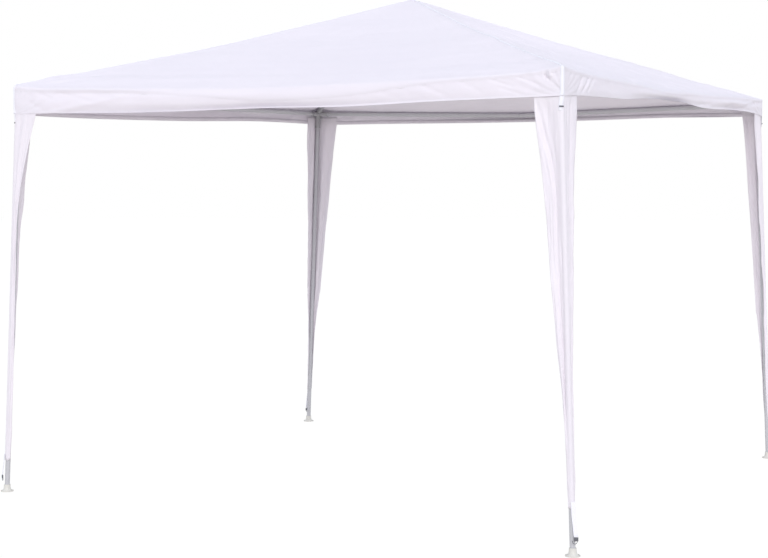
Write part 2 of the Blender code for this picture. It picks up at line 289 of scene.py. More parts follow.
def shaped_grid(bm, columns, rows, place):
    """A grid whose point (column, row) goes where place says; place gives a point and its UV."""
    made = bmesh.ops.create_grid(bm, x_segments=columns, y_segments=rows, size=1)["verts"]
    flat = {}
    for vert in made:
        column = round((vert.co.x + 1) / 2 * columns)
        row = round((vert.co.y + 1) / 2 * rows)
        vert.co, flat[vert] = place(column, row)
    layer = bm.loops.layers.uv.verify()
    for face in {face for vert in made for face in vert.link_faces}:
        for loop in face.loops:
            loop[layer].uv = flat[loop.vert]
    return made


def spun(outline, matrix, sides, closed, bevel=0.0):
    """Spins an outline of (radius, height) points round Z and places it."""
    bm = bmesh.new()
    verts = [bm.verts.new((radius, 0, height)) for radius, height in outline]
    for first, second in zip(verts, verts[1:]):
        bm.edges.new((first, second))
    if closed:
        bm.edges.new((verts[-1], verts[0]))
    if bevel:
        bmesh.ops.bevel(
            bm, geom=verts, offset=bevel, segments=2, profile=0.5, affect="VERTICES", material=-1
        )
    bmesh.ops.spin(
        bm,
        geom=bm.verts[:] + bm.edges[:],
        cent=(0, 0, 0),
        axis=(0, 0, 1),
        angle=2 * math.pi,
        steps=sides,
        use_merge=True,
    )
    bmesh.ops.remove_doubles(bm, verts=bm.verts[:], dist=0.00001)
    bmesh.ops.recalc_face_normals(bm, faces=bm.faces[:])
    bmesh.ops.transform(bm, matrix=matrix, verts=bm.verts[:])
    return bm


def joined(name, solids, holes, sharp_angle):
    """One mesh from overlapping solids, with the holes cut out of it."""

    def gathered(parts):
        whole = bmesh.new()
        for part in parts:
            mesh = bpy.data.meshes.new("part")
            part.to_mesh(mesh)
            part.free()
            whole.from_mesh(mesh)
            bpy.data.meshes.remove(mesh)
        mesh = bpy.data.meshes.new(name)
        whole.to_mesh(mesh)
        whole.free()
        obj = bpy.data.objects.new(name + "_made", mesh)
        bpy.context.scene.collection.objects.link(obj)
        return obj

    body = gathered(solids[:1])
    tools = []
    for operation, parts in (("UNION", solids[1:]), ("DIFFERENCE", holes)):
        for part in parts:
            tool = gathered([part])
            tools.append(tool)
            modifier = body.modifiers.new(operation, "BOOLEAN")
            modifier.operation = operation
            modifier.solver = "EXACT"
            modifier.object = tool
    graph = bpy.context.evaluated_depsgraph_get()
    mesh = bpy.data.meshes.new_from_object(body.evaluated_get(graph))
    for obj in [body, *tools]:
        bpy.data.objects.remove(obj, do_unlink=True)
    mesh.name = name
    mesh.shade_smooth()
    mesh.set_sharp_from_angle(angle=math.radians(sharp_angle))
    return mesh


# Materials


def new_material(name):
    material = bpy.data.materials.new(name)
    material.use_nodes = True
    material.node_tree.nodes.clear()
    return material


def add_node(tree, kind, settings=None, inputs=None):
    """Adds a node, sets its properties and sets or links its inputs."""
    node = tree.nodes.new(kind)
    for key, value in (settings or {}).items():
        setattr(node, key, value)
    for key, value in (inputs or {}).items():
        if isinstance(value, bpy.types.NodeSocket):
            tree.links.new(value, node.inputs[key])
        else:
            node.inputs[key].default_value = value
    return node


def woven_sheet(name, colour, dark, crinkle):
    """Woven polyethylene sheet, laminated: a satin skin over flat tapes that cross at right angles.

    The tapes are 2 mm wide. Some light comes through, so the underside glows softly, and storage
    leaves a fine crinkle in the skin that breaks up its sheen.
    """
    tape_mm = 2.0
    material = new_material(name)
    tree = material.node_tree
    place = add_node(tree, "ShaderNodeTexCoord")
    tapes = []
    for direction in ("X", "Y"):
        tapes.append(
            add_node(
                tree,
                "ShaderNodeTexWave",
                {"bands_direction": direction, "wave_profile": "SIN"},
                {"Vector": place.outputs["UV"], "Scale": 1000 / tape_mm / 20 * math.pi, "Distortion": 0.0},
            )
        )
    weave = add_node(
        tree,
        "ShaderNodeMath",
        {"operation": "MAXIMUM"},
        {0: tapes[0].outputs["Fac"], 1: tapes[1].outputs["Fac"]},
    )
    stretched = add_node(
        tree, "ShaderNodeMapping", {}, {"Vector": place.outputs["UV"], "Scale": (1.0, 2.2, 1.0)}
    )
    fine = add_node(
        tree,
        "ShaderNodeTexNoise",
        {"noise_dimensions": "3D"},
        {
            "Vector": stretched.outputs["Vector"],
            "Scale": 24.0,
            "Detail": 4.0,
            "Roughness": 0.62,
            "Distortion": 0.6,
        },
    )
    broad = add_node(
        tree,
        "ShaderNodeTexNoise",
        {"noise_dimensions": "3D"},
        {"Vector": place.outputs["Object"], "Scale": 2.3, "Detail": 3.0},
    )
    shade = add_node(
        tree,
        "ShaderNodeMix",
        {"data_type": "RGBA"},
        {"Factor": broad.outputs["Fac"], 6: linear(dark), 7: linear(colour)},
    )
    gloss = add_node(
        tree,
        "ShaderNodeMapRange",
        {},
        {"Value": fine.outputs["Fac"], "To Min": 0.40, "To Max": 0.56},
    )
    crease = add_node(
        tree,
        "ShaderNodeBump",
        {},
        {"Strength": crinkle, "Distance": 0.004, "Height": fine.outputs["Fac"]},
    )
    skin = add_node(
        tree,
        "ShaderNodeBump",
        {},
        {
            "Strength": 0.10,
            "Distance": 0.0004,
            "Height": weave.outputs[0],
            "Normal": crease.outputs["Normal"],
        },
    )
    face = add_node(
        tree,
        "ShaderNodeBsdfPrincipled",
        {},
        {
            "Base Color": shade.outputs[2],
            "Roughness": gloss.outputs["Result"],
            "IOR": 1.5,
            "Specular IOR Level": 0.4,
            "Normal": skin.outputs["Normal"],
        },
    )
    glow = add_node(
        tree,
        "ShaderNodeBsdfTranslucent",
        {},
        {"Color": shade.outputs[2], "Normal": skin.outputs["Normal"]},
    )
    both = add_node(
        tree,
        "ShaderNodeMixShader",
        {},
        {"Fac": 0.20, 1: face.outputs["BSDF"], 2: glow.outputs["BSDF"]},
    )
    add_node(tree, "ShaderNodeOutputMaterial", {}, {"Surface": both.outputs["Shader"]})
    return material


def coated_steel():
    """Powder-coated steel: even satin paint whose orange peel softens the highlight along a tube."""
    peel_mm = 1.6
    material = new_material("powder_coated_steel")
    tree = material.node_tree
    place = add_node(tree, "ShaderNodeTexCoord")
    peel = add_node(
        tree,
        "ShaderNodeTexNoise",
        {},
        {"Vector": place.outputs["Object"], "Scale": 1000 / peel_mm, "Detail": 2.0},
    )
    wear = add_node(
        tree,
        "ShaderNodeTexNoise",
        {},
        {"Vector": place.outputs["Object"], "Scale": 9.0, "Detail": 5.0, "Roughness": 0.7},
    )
    gloss = add_node(
        tree, "ShaderNodeMapRange", {}, {"Value": wear.outputs["Fac"], "To Min": 0.26, "To Max": 0.42}
    )
    skin = add_node(
        tree,
        "ShaderNodeBump",
        {},
        {"Strength": 0.12, "Distance": 0.0002, "Height": peel.outputs["Fac"]},
    )
    tone = add_node(
        tree,
        "ShaderNodeMix",
        {"data_type": "RGBA"},
        {"Factor": wear.outputs["Fac"], 6: linear("#BBBABE"), 7: linear("#C6C5C9")},
    )
    paint = add_node(
        tree,
        "ShaderNodeBsdfPrincipled",
        {},
        {
            "Base Color": tone.outputs[2],
            "Roughness": gloss.outputs["Result"],
            "IOR": 1.5,
            "Normal": skin.outputs["Normal"],
        },
    )
    add_node(tree, "ShaderNodeOutputMaterial", {}, {"Surface": paint.outputs["BSDF"]})
    return material


def moulded_plastic(name, colour, dark, roughness):
    """Injection-moulded polypropylene: a fine spark-eroded grain that keeps the shine low and even."""
    grain_mm = 0.8
    material = new_material(name)
    tree = material.node_tree
    place = add_node(tree, "ShaderNodeTexCoord")
    grain = add_node(
        tree,
        "ShaderNodeTexNoise",
        {},
        {"Vector": place.outputs["Object"], "Scale": 1000 / grain_mm, "Detail": 2.0},
    )
    flow = add_node(
        tree,
        "ShaderNodeTexNoise",
        {},
        {"Vector": place.outputs["Object"], "Scale": 22.0, "Detail": 3.0},
    )
    tone = add_node(
        tree,
        "ShaderNodeMix",
        {"data_type": "RGBA"},
        {"Factor": flow.outputs["Fac"], 6: linear(dark), 7: linear(colour)},
    )
    gloss = add_node(
        tree,
        "ShaderNodeMapRange",
        {},
        {"Value": flow.outputs["Fac"], "To Min": roughness - 0.06, "To Max": roughness + 0.06},
    )
    skin = add_node(
        tree,
        "ShaderNodeBump",
        {},
        {"Strength": 0.25, "Distance": 0.0001, "Height": grain.outputs["Fac"]},
    )
    surface = add_node(
        tree,
        "ShaderNodeBsdfPrincipled",
        {},
        {
            "Base Color": tone.outputs[2],
            "Roughness": gloss.outputs["Result"],
            "IOR": 1.49,
            "Normal": skin.outputs["Normal"],
        },
    )
    add_node(tree, "ShaderNodeOutputMaterial", {}, {"Surface": surface.outputs["BSDF"]})
    return material


def webbing():
    """Woven polyester webbing: ribs across the strap, 1.5 mm apart, that scatter the light."""
    rib_mm = 1.5
    material = new_material("woven_polyester_webbing")
    tree = material.node_tree
    place = add_node(tree, "ShaderNodeTexCoord")
    ribs = add_node(
        tree,
        "ShaderNodeTexWave",
        {"bands_direction": "Y", "wave_profile": "SIN"},
        {"Vector": place.outputs["UV"], "Scale": 1000 / rib_mm / 20 * math.pi, "Distortion": 0.4},
    )
    fibre = add_node(
        tree,
        "ShaderNodeTexNoise",
        {},
        {"Vector": place.outputs["UV"], "Scale": 900.0, "Detail": 2.0},
    )
    tone = add_node(
        tree,
        "ShaderNodeMix",
        {"data_type": "RGBA"},
        {"Factor": fibre.outputs["Fac"], 6: linear("#E2E0E7"), 7: linear("#F1EFF5")},
    )
    skin = add_node(
        tree,
        "ShaderNodeBump",
        {},
        {"Strength": 0.5, "Distance": 0.0004, "Height": ribs.outputs["Fac"]},
    )
    gloss = add_node(
        tree, "ShaderNodeMapRange", {}, {"Value": ribs.outputs["Fac"], "To Min": 0.78, "To Max": 0.62}
    )
    surface = add_node(
        tree,
        "ShaderNodeBsdfPrincipled",
        {},
        {
            "Base Color": tone.outputs[2],
            "Roughness": gloss.outputs["Result"],
            "Sheen Weight": 0.2,
            "Normal": skin.outputs["Normal"],
        },
    )
    add_node(tree, "ShaderNodeOutputMaterial", {}, {"Surface": surface.outputs["BSDF"]})
    return material


MATERIALS = {
    "roof": lambda: woven_sheet("laminated_polyethylene_roof", "#F6F0F6", "#F2ECF3", 0.20),
    "skirt": lambda: woven_sheet("laminated_polyethylene_skirt", "#F7F1F6", "#F2ECF2", 0.16),
    "steel": coated_steel,
    "fitting": lambda: moulded_plastic("moulded_grey_polypropylene", "#B3B2B4", "#A9A8AB", 0.50),
    "foot": lambda: moulded_plastic("moulded_pale_polypropylene", "#DAD7D0", "#D2CFC9", 0.46),
    # Dark grey for the tie clips and hooks, and also for the painted-shadow block at each corner tape's end
    "clip_and_painted_shadow": lambda: moulded_plastic("moulded_dark_acetal_and_painted_shadow", "#6A6A70", "#5C5C62", 0.42),
    "webbing": webbing,
}


def material(key):
    """The finish of that name, made the first time it is asked for."""
    if not isinstance(MATERIALS[key], bpy.types.Material):
        MATERIALS[key] = MATERIALS[key]()
    return MATERIALS[key]


# Tubes, fittings and feet


def tube_stations(node):
    """A CAD tube's start, direction and stations of (distance, outer radius, inner radius)."""
    points = np.array([v.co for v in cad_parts[node].data.vertices])
    points = np.unique(points.round(6), axis=0)
    centre = points.mean(axis=0)
    direction = np.linalg.svd(points - centre, full_matrices=False)[2][0]
    run = (points - centre) @ direction
    radii = np.linalg.norm(points - centre - np.outer(run, direction), axis=1)
    start = run.min()
    places = np.unique((run - start).round(4))
    stations = [
        (float(place), float(radii[near].max()), float(radii[near].min()))
        for place in places
        for near in [np.abs(run - start - place) < 0.0001]
    ]
    return Vector(centre + direction * start), Vector(direction), stations


def tube_nodes():
    kinds = ("leg_lower", "leg_upper", "eave_pole", "roof_pole")
    return sorted(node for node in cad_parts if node.startswith(kinds))


def build_tubes():
    """Round swaged tubes in place of the faceted ones, on the same axes and outlines."""
    for node in tube_nodes():
        start, direction, stations = tube_stations(node)
        outline = [(outer, place) for place, outer, _ in reversed(stations)]
        outline += [(inner, place) for place, _, inner in stations]
        matrix = along(start, start + direction)
        bm = spun(outline, matrix, TUBE_SIDES, True, RIM_BEVEL)
        add_piece("round_" + node, to_mesh("round_" + node, bm, 40), material("steel"), [node])


def sockets_in(node):
    """Tube ends that lie in a fitting: (kind, tube's end, direction out of the fitting)."""
    low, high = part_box(node)
    found = []
    for tube in tube_nodes():
        start, direction, stations = tube_stations(tube)
        end = start + direction * stations[-1][0]
        for tip, out in ((start, direction), (end, -direction)):
            if all(a - 0.01 <= c <= b + 0.01 for a, c, b in zip(low, tip, high)):
                found.append((tube.split("_pole")[0].split("_")[0], tip, out))
    return found


def socket_solid(start, end, radius):
    """A round arm with a thicker collar at its mouth."""
    length = (end - start).length
    collar = radius + COLLAR_EXTRA
    outline = [
        (0, length),
        (collar - RIM_BEVEL, length),
        (collar, length - RIM_BEVEL),
        (collar, length - COLLAR_LENGTH),
        (radius, length - COLLAR_LENGTH - COLLAR_EXTRA),
        (radius, 0),
        (0, 0),
    ]
    return spun(outline, along(start, end), FITTING_SIDES, False)


def bore_solid(start, end):
    length = (end - start).length
    outline = [(0, length), (BORE_RADIUS, length), (BORE_RADIUS, 0), (0, 0)]
    return spun(outline, along(start, end), FITTING_SIDES, False)


def build_corner_fittings():
    for corner in CORNERS:
        node = "corner_fitting_" + corner
        axis = leg_axis(corner)
        top = max(point.z for point in points_of(node) if (point - axis(point.z)).length < 0.004)
        solids = []
        holes = []
        for kind, tip, out in sockets_in(node):
            push_in = LEG_PUSH_IN if kind == "leg" else PUSH_IN
            mouth = tip + out * push_in
            holes.append(bore_solid(tip, mouth + out * BORE_OVERRUN))
            if kind != "leg":
                solids.append(socket_solid(tip - out * ARM_BACK, mouth, ARM_RADIUS))
                continue
            rise = (top - tip.z) / -out.z - POST_RADIUS
            base = tip - out * rise
            length = (mouth - base).length
            collar = POST_RADIUS + COLLAR_EXTRA / 2
            dome = [
                (POST_RADIUS * math.cos(a), -POST_RADIUS * math.sin(a))
                for a in (math.pi / 2 * i / 8 for i in range(9))
            ]
            outline = [(0, length), (collar, length), (collar, length - COLLAR_LENGTH)]
            outline += [(POST_RADIUS, length - COLLAR_LENGTH - COLLAR_EXTRA)] + dome
            solids.insert(0, spun(outline, along(base, mouth), FITTING_SIDES, False))
        mesh = joined("moulded_" + node, solids, holes, 32)
        add_piece("moulded_" + node, mesh, material("fitting"), [node])


def build_crown():
    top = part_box("crown_fitting")[1].z
    centre = Vector((0, 0, top - CROWN_RADIUS))
    ball = [
        (CROWN_RADIUS * math.sin(a), CROWN_RADIUS * math.cos(a))
        for a in (math.pi * i / 24 for i in range(25))
    ]
    solids = [spun(ball, Matrix.Translation(centre), FITTING_SIDES, False)]
    holes = []
    for _, tip, out in sockets_in("crown_fitting"):
        mouth = tip + out * CROWN_REACH
        solids.append(socket_solid(centre, mouth, ARM_RADIUS))
        holes.append(bore_solid(tip, mouth + out * BORE_OVERRUN))
    mesh = joined("moulded_crown_fitting", solids, holes, 32)
    add_piece("moulded_crown_fitting", mesh, material("fitting"), ["crown_fitting"])


@functools.lru_cache
def leg_line(corner):
    return tube_stations("leg_lower_" + corner)[:2]


def leg_axis(corner):
    """A point on the leg's axis at any height, as a function of the height."""
    start, direction = leg_line(corner)
    return lambda height: start + direction * ((height - start.z) / direction.z)


def build_feet():
    """Round feet: a plate with a raised rim, a flared neck and a sleeve round the leg."""
    outline = [
        (0, FOOT_TOP),
        (0.0158, FOOT_TOP),
        (0.0165, 0.0352),
        (0.0165, 0.0255),
        (0.0171, 0.0205),
        (0.0184, 0.0150),
        (0.0203, 0.0100),
        (0.0222, 0.0062),
        (0.0243, 0.0040),
        (0.0270, 0.0032),
        (0.0300, 0.0032),
        (0.0308, 0.0046),
        (0.0322, 0.0050),
        (0.0330, 0.0040),
        (0.0330, 0.0012),
        (0.0322, 0.0),
        (0, 0),
    ]
    for corner in CORNERS:
        node = "foot_" + corner
        low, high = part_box(node)
        centre = Vector(((low.x + high.x) / 2, (low.y + high.y) / 2, 0))
        axis = leg_axis(corner)
        plate = spun(outline, Matrix.Translation(centre), FOOT_SIDES, False)
        bore = bore_solid(axis(FOOT_FLOOR), axis(FOOT_TOP + BORE_OVERRUN))
        mesh = joined("moulded_" + node, [plate], [bore], 35)
        add_piece("moulded_" + node, mesh, material("foot"), [node])


# Cover


# How each side of the cover hangs. Heights are metres above the ground, and a droop is the hem's
# height over the straight line between its corners. Roof folds and creases run at a distance up
# from the eave, valance folds at a height above the hem; x runs along the side from its middle.
#   crease, droop, roll: (u, height), (u, height over the line), (u, reach down the valance)
#   creases: (distance up, depth, width) of long ridges along the roof
#   crinkle, fan: depth of the roof's small folds and of those that spread from the peak
#   slack: how many times the usual belly the panel sags; hem_wave: how far the hem swings
#   swells: (x, width, share of the valance's height, width, outward shift)
#   folds: (x, height, x, height, width, outward shift) of straight folds in the valance
#   pull: depth of the folds that spread from the left and from the right corner
SIDE_LOOKS = {
    "front": {
        "crease": (
            (-1, 2.080), (-0.97, 2.0715), (-0.88, 2.058), (-0.71, 2.0505), (-0.5, 2.0415), (-0.27, 2.032),
            (0, 2.025), (0.2, 2.0295), (0.41, 2.036), (0.6, 2.0425), (0.74, 2.048), (0.88, 2.0565),
            (0.93, 2.0635), (0.97, 2.0725), (1, 2.080),
        ),
        "droop": (
            (-1, 0), (-0.85, -0.002), (-0.5, -0.011), (-0.3, -0.012), (0, -0.0095), (0.28, -0.015),
            (0.55, -0.007), (0.87, -0.0015), (1, 0),
        ),
        "roll": (
            (-1, 0.016), (-0.97, 0.011), (-0.6, 0.010), (-0.3, 0.026), (0, 0.056), (0.3, 0.050),
            (0.58, 0.014), (1, 0.006),
        ),
        "creases": (
            (0.10, 0.0016, 0.020), (0.22, -0.0022, 0.026), (0.40, 0.0022, 0.030), (0.55, -0.0020, 0.024),
            (0.72, 0.0026, 0.034), (0.90, -0.0020, 0.026), (1.08, 0.0022, 0.030), (1.26, -0.0014, 0.024),
        ),
        "crinkle": 0.0010,
        "fan": 0.0009,
        "slack": 1.0,
        "hem_wave": 0.0035,
        "swells": (
            (-1.05, 0.50, 0.80, 0.13, -0.0045), (-0.95, 0.55, 0.42, 0.22, 0.0045),
            (-0.95, 0.50, 0.02, 0.20, -0.0050), (-0.02, 0.62, 0.0, 0.22, -0.0200),
            (0.95, 0.45, 0.45, 0.30, 0.0035), (0.70, 0.85, 0.0, 0.045, 0.0050),
        ),
        "folds": (
            (-1.28, 0.000, -1.03, 0.040, 0.014, 0.0045), (-1.03, 0.040, -0.80, 0.080, 0.014, 0.0040),
            (-0.80, 0.078, 0.15, 0.052, 0.018, 0.0030), (-1.20, 0.100, -1.00, 0.055, 0.010, -0.0025),
            (-1.42, 0.070, -1.30, 0.010, 0.012, -0.0020), (-1.36, 0.110, -1.22, 0.060, 0.010, -0.0022),
            (0.56, 0.080, 0.72, 0.020, 0.014, -0.0020), (0.82, 0.078, 0.94, 0.028, 0.012, -0.0028),
            (1.02, 0.084, 1.12, 0.030, 0.010, -0.0018), (1.17, 0.080, 1.27, 0.048, 0.008, -0.0030),
            (1.20, 0.048, 1.31, 0.016, 0.008, -0.0024), (1.29, 0.090, 1.39, 0.050, 0.007, -0.0032),
            (1.415, 0.114, 1.420, 0.080, 0.0050, -0.0095), (1.420, 0.084, 1.440, 0.070, 0.0050, -0.0075),
            (1.440, 0.110, 1.444, 0.082, 0.009, 0.0060), (1.437, 0.070, 1.489, 0.024, 0.0055, -0.0035),
        ),
        "pull": (0.0012, 0.0010),
    },
    "right": {
        "crease": (
            (-1, 2.080), (-0.95, 2.0725), (-0.84, 2.0645), (-0.68, 2.0585), (-0.5, 2.056), (-0.33, 2.053),
            (-0.14, 2.0472), (0, 2.0485), (0.17, 2.0555), (0.4, 2.059), (0.52, 2.066), (0.77, 2.0725),
            (0.92, 2.075), (1, 2.080),
        ),
        "droop": (
            (-1, 0), (-0.91, 0.007), (-0.67, 0.012), (-0.5, 0.014), (-0.33, 0.029), (-0.13, 0.0325),
            (0.07, 0.029), (0.29, 0.012), (0.52, 0.0165), (0.7, 0.019), (0.88, 0.013), (1, 0),
        ),
        "roll": ((-1, 0.006), (-0.5, 0.010), (0, 0.014), (0.5, 0.010), (1, 0.006)),
        "creases": (
            (0.09, -0.0030, 0.018), (0.17, 0.0026, 0.020), (0.30, -0.0030, 0.026), (0.46, 0.0028, 0.030),
            (0.66, -0.0028, 0.028), (0.88, 0.0030, 0.034), (1.10, -0.0026, 0.026),
        ),
        "crinkle": 0.0020,
        "fan": 0.0042,
        "slack": 2.8,
        "hem_wave": 0.0060,
        "swells": (
            (-0.15, 0.45, 0.0, 0.28, -0.0190), (0.95, 0.32, 0.52, 0.20, 0.0120),
            (0.95, 0.32, 0.13, 0.13, -0.0110), (-1.00, 0.40, 0.45, 0.30, 0.0040),
        ),
        "folds": (
            (-1.344, 0.014, -1.277, 0.082, 0.0085, -0.0050), (-1.287, 0.018, -1.195, 0.086, 0.0085, -0.0055),
            (-1.229, 0.018, -1.148, 0.084, 0.0085, -0.0045), (-1.10, 0.050, -0.70, 0.030, 0.016, -0.0030),
            (-0.62, 0.070, 0.20, 0.040, 0.018, -0.0040), (0.33, 0.012, 0.52, 0.024, 0.011, -0.0060),
            (0.84, 0.018, 0.94, 0.030, 0.010, -0.0060), (1.12, 0.022, 1.47, 0.074, 0.013, -0.0070),
            (1.18, 0.060, 1.46, 0.092, 0.010, -0.0035),
        ),
        "pull": (0.0010, 0.0020),
    },
    "back": {
        "crease": (
            (-1, 2.080), (-0.96, 2.070), (-0.88, 2.0605), (-0.6, 2.046), (-0.3, 2.0345), (0, 2.0265),
            (0.3, 2.0345), (0.6, 2.046), (0.88, 2.0605), (0.96, 2.070), (1, 2.080),
        ),
        "droop": (
            (-1, 0), (-0.89, -0.0005), (-0.6, 0.002), (-0.27, -0.006), (0, -0.008), (0.3, -0.0075),
            (0.68, -0.004), (0.88, -0.004), (1, 0),
        ),
        "roll": ((-1, 0.006), (-0.5, 0.011), (0, 0.022), (0.5, 0.012), (1, 0.006)),
        "creases": (
            (0.14, -0.0020, 0.022), (0.28, 0.0024, 0.028), (0.50, -0.0020, 0.028), (0.70, 0.0024, 0.032),
            (0.95, -0.0020, 0.028), (1.14, 0.0020, 0.028),
        ),
        "crinkle": 0.0011,
        "fan": 0.0010,
        "slack": 1.4,
        "hem_wave": 0.0045,
        "swells": (
            (0.2, 0.60, 0.0, 0.32, -0.0130), (-0.95, 0.45, 0.45, 0.25, 0.0050),
            (0.95, 0.40, 0.75, 0.14, -0.0035),
        ),
        "folds": (
            (-1.34, 0.020, -1.22, 0.075, 0.009, -0.0035), (-1.10, 0.070, -0.80, 0.030, 0.014, -0.0030),
            (-0.50, 0.030, 0.10, 0.050, 0.018, 0.0035), (0.70, 0.070, 0.86, 0.024, 0.012, -0.0030),
            (1.10, 0.078, 1.24, 0.030, 0.010, -0.0030), (1.28, 0.076, 1.37, 0.034, 0.008, -0.0030),
        ),
        "pull": (0.0014, 0.0014),
    },
    "left": {
        "crease": (
            (-1, 2.080), (-0.96, 2.071), (-0.86, 2.064), (-0.6, 2.0565), (-0.3, 2.050), (0, 2.0455),
            (0.3, 2.049), (0.6, 2.055), (0.86, 2.063), (0.96, 2.071), (1, 2.080),
        ),
        "droop": (
            (-1, 0), (-0.86, 0.003), (-0.69, 0.0065), (-0.46, 0.007), (-0.24, 0.001), (-0.03, -0.005),
            (0.35, -0.009), (0.65, -0.009), (0.86, -0.0055), (1, 0),
        ),
        "roll": ((-1, 0.006), (-0.5, 0.010), (0, 0.018), (0.5, 0.010), (0.97, 0.011), (1, 0.016)),
        "creases": (
            (0.12, 0.0018, 0.022), (0.26, -0.0022, 0.026), (0.48, 0.0024, 0.030), (0.74, -0.0022, 0.030),
            (0.98, 0.0024, 0.030), (1.20, -0.0016, 0.026),
        ),
        "crinkle": 0.0011,
        "fan": 0.0012,
        "slack": 1.2,
        "hem_wave": 0.0045,
        "swells": (
            (-0.3, 0.60, 0.0, 0.32, -0.0120), (-0.95, 0.40, 0.50, 0.22, 0.0060),
            (0.90, 0.45, 0.80, 0.14, -0.0040),
        ),
        "folds": (
            (-1.30, 0.076, -1.18, 0.030, 0.009, -0.0030), (-1.00, 0.030, -0.70, 0.064, 0.014, -0.0030),
            (-0.30, 0.060, 0.40, 0.036, 0.018, 0.0035), (0.80, 0.030, 1.00, 0.084, 0.012, -0.0030),
            (1.22, 0.030, 1.32, 0.092, 0.009, -0.0035), (1.34, 0.030, 1.41, 0.084, 0.008, -0.0028),
        ),
        "pull": (0.0014, 0.0014),
    },
}
# Local rises of a hip: (share climbed, width, height)
HIP_LOOKS = {
    "front_right": ((0.05, 0.03, 0.003), (0.40, 0.05, 0.006), (0.62, 0.05, -0.002)),
    "back_right": ((0.10, 0.05, 0.004), (0.40, 0.08, 0.005), (0.60, 0.06, -0.002)),
    "back_left": ((0.08, 0.04, 0.004), (0.35, 0.07, 0.004)),
    "front_left": ((0.095, 0.030, 0.0075), (0.16, 0.02, -0.002), (0.44, 0.04, -0.0015)),
}


def side_ends(side):
    """The corners at a side's left and right ends."""
    index = SIDES.index(side)
    corners = list(CORNERS)
    return corners[index - 1], corners[index]


@functools.lru_cache(maxsize=None)
def crease_height(side, u):
    """Height where the roof's slope would meet the valance."""
    return curve_at(SIDE_LOOKS[side]["crease"], u)


@functools.lru_cache(maxsize=None)
def hem_height(side, u):
    left, right = side_ends(side)
    line = HEM_Z[left] + (HEM_Z[right] - HEM_Z[left]) * (u + 1) / 2
    return line + curve_at(SIDE_LOOKS[side]["droop"], u)


@functools.lru_cache(maxsize=None)
def hip_profile(corner):
    """Points of (distance out, height) along the top of a CAD roof panel's hip."""
    side = SIDES[list(CORNERS).index(corner)]
    turn = Matrix.Rotation(-math.pi / 2 * SIDES.index(side), 3, "Z")
    tops = {}
    for point in (turn @ p for p in points_of("roof_panel_" + side)):
        if point.x > -0.001 and abs(point.x + point.y) < 0.002:
            out = round(-point.y, 3)
            tops[out] = max(tops.get(out, 0), point.z)
    return sorted(tops.items())


@functools.lru_cache(maxsize=None)
def hip_height(corner, out):
    climb = 1 - out / HALF
    peaked = math.hypot(out, PEAK_ROUND)
    height = curve_at(hip_profile(corner), peaked)
    return height + sum(rise * hump(climb, at, width) for at, width, rise in HIP_LOOKS[corner])


def roof_height(side, u, out):
    """Height of a roof panel at a distance out from the peak."""
    left, right = side_ends(side)
    hips = (hip_height(left, out) * (1 - u) + hip_height(right, out) * (1 + u)) / 2
    hang = CORNER_Z - crease_height(side, u)
    lift = min(hang, CORNER_LIFT * (1 - abs(u) ** CORNER_LIFT_POWER))
    share = out / HALF
    belly = bpy.context.scene.gazebo_cover.belly * SIDE_LOOKS[side]["slack"]
    belly *= math.sin(math.pi * share) * (1 - u * u)
    return hips - (hang - lift) * share**PANEL_SAG_POWER - lift * share**CORNER_LIFT_FADE - belly


@functools.lru_cache(maxsize=None)
def roll_ends(side, u):
    """The roll over the eave pole: its Bezier points and where it meets the roof."""
    down = curve_at(SIDE_LOOKS[side]["roll"], u)
    inward = min(down, ROLL_INWARD)
    inner = HALF - inward
    height = roof_height(side, u, inner)
    slope = (roof_height(side, u, inner - 0.002) - height) / 0.002
    corner = Vector((HALF, height - slope * inward))
    first = Vector((HALF, corner.y - down))
    last = Vector((inner, height))
    return first, first.lerp(corner, ROLL_GRIP), last.lerp(corner, ROLL_GRIP), last


def roll_curve(side, u, share):
    """Point (out, height) and its normal on the roll, from the valance (0) to the roof (1)."""
    first, near, far, last = roll_ends(side, u)
    rest = 1 - share
    point = first * rest**3 + near * (3 * rest**2 * share) + far * (3 * rest * share**2) + last * share**3
    run = (near - first) * rest**2 + (far - near) * (2 * rest * share) + (last - far) * share**2
    return point, Vector((run.y, -run.x)).normalized()


def fall_point(side, u, zone, share):
    """(out, height), normal and height above the hem of a point on a side's fall line."""
    bottom = hem_height(side, u)
    radius = HEM_TURN / 2
    centre = Vector((HALF - radius, bottom + radius))
    if zone == "turned":
        return centre + Vector((-radius, share * HEM_DEPTH)), Vector((-1, 0)), -share * HEM_DEPTH
    if zone == "edge":
        angle = math.pi * (1 + share)
        normal = Vector((math.cos(angle), math.sin(angle)))
        return centre + normal * radius, normal, 0.0
    first, _, _, last = roll_ends(side, u)
    valance = first.y - centre.y
    if zone == "valance":
        return Vector((HALF, centre.y + valance * share)), Vector((1, 0)), valance * share
    bend = (first - last).length * 1.15
    if zone == "roll":
        point, normal = roll_curve(side, u, share)
        return point, normal, valance + share * bend
    out = last.x * (1 - share)
    slope = Vector((math.sin(SLOPE), math.cos(SLOPE)))
    return Vector((out, roof_height(side, u, out))), slope, valance + bend + (last.x - out) / math.cos(SLOPE)


def wave(x, y, seed):
    """Smooth noise from about -1 to 1."""
    return 2 * noise.noise(Vector((x, y, seed)))


def straight_folds(folds, x, height):
    """Outward shift of straight ridges and valleys whose ends fade."""
    shift = 0.0
    for x1, height1, x2, height2, width, depth in folds:
        run, climb = x2 - x1, height2 - height1
        length = math.hypot(run, climb)
        away = ((x - x1) * climb - (height - height1) * run) / length
        if abs(away) < 3 * width:
            share = ((x - x1) * run + (height - height1) * climb) / length**2
            shift += depth * hump(away, 0, width) * smooth(-0.2, 0.2, share) * (1 - smooth(0.8, 1.2, share))
    return shift


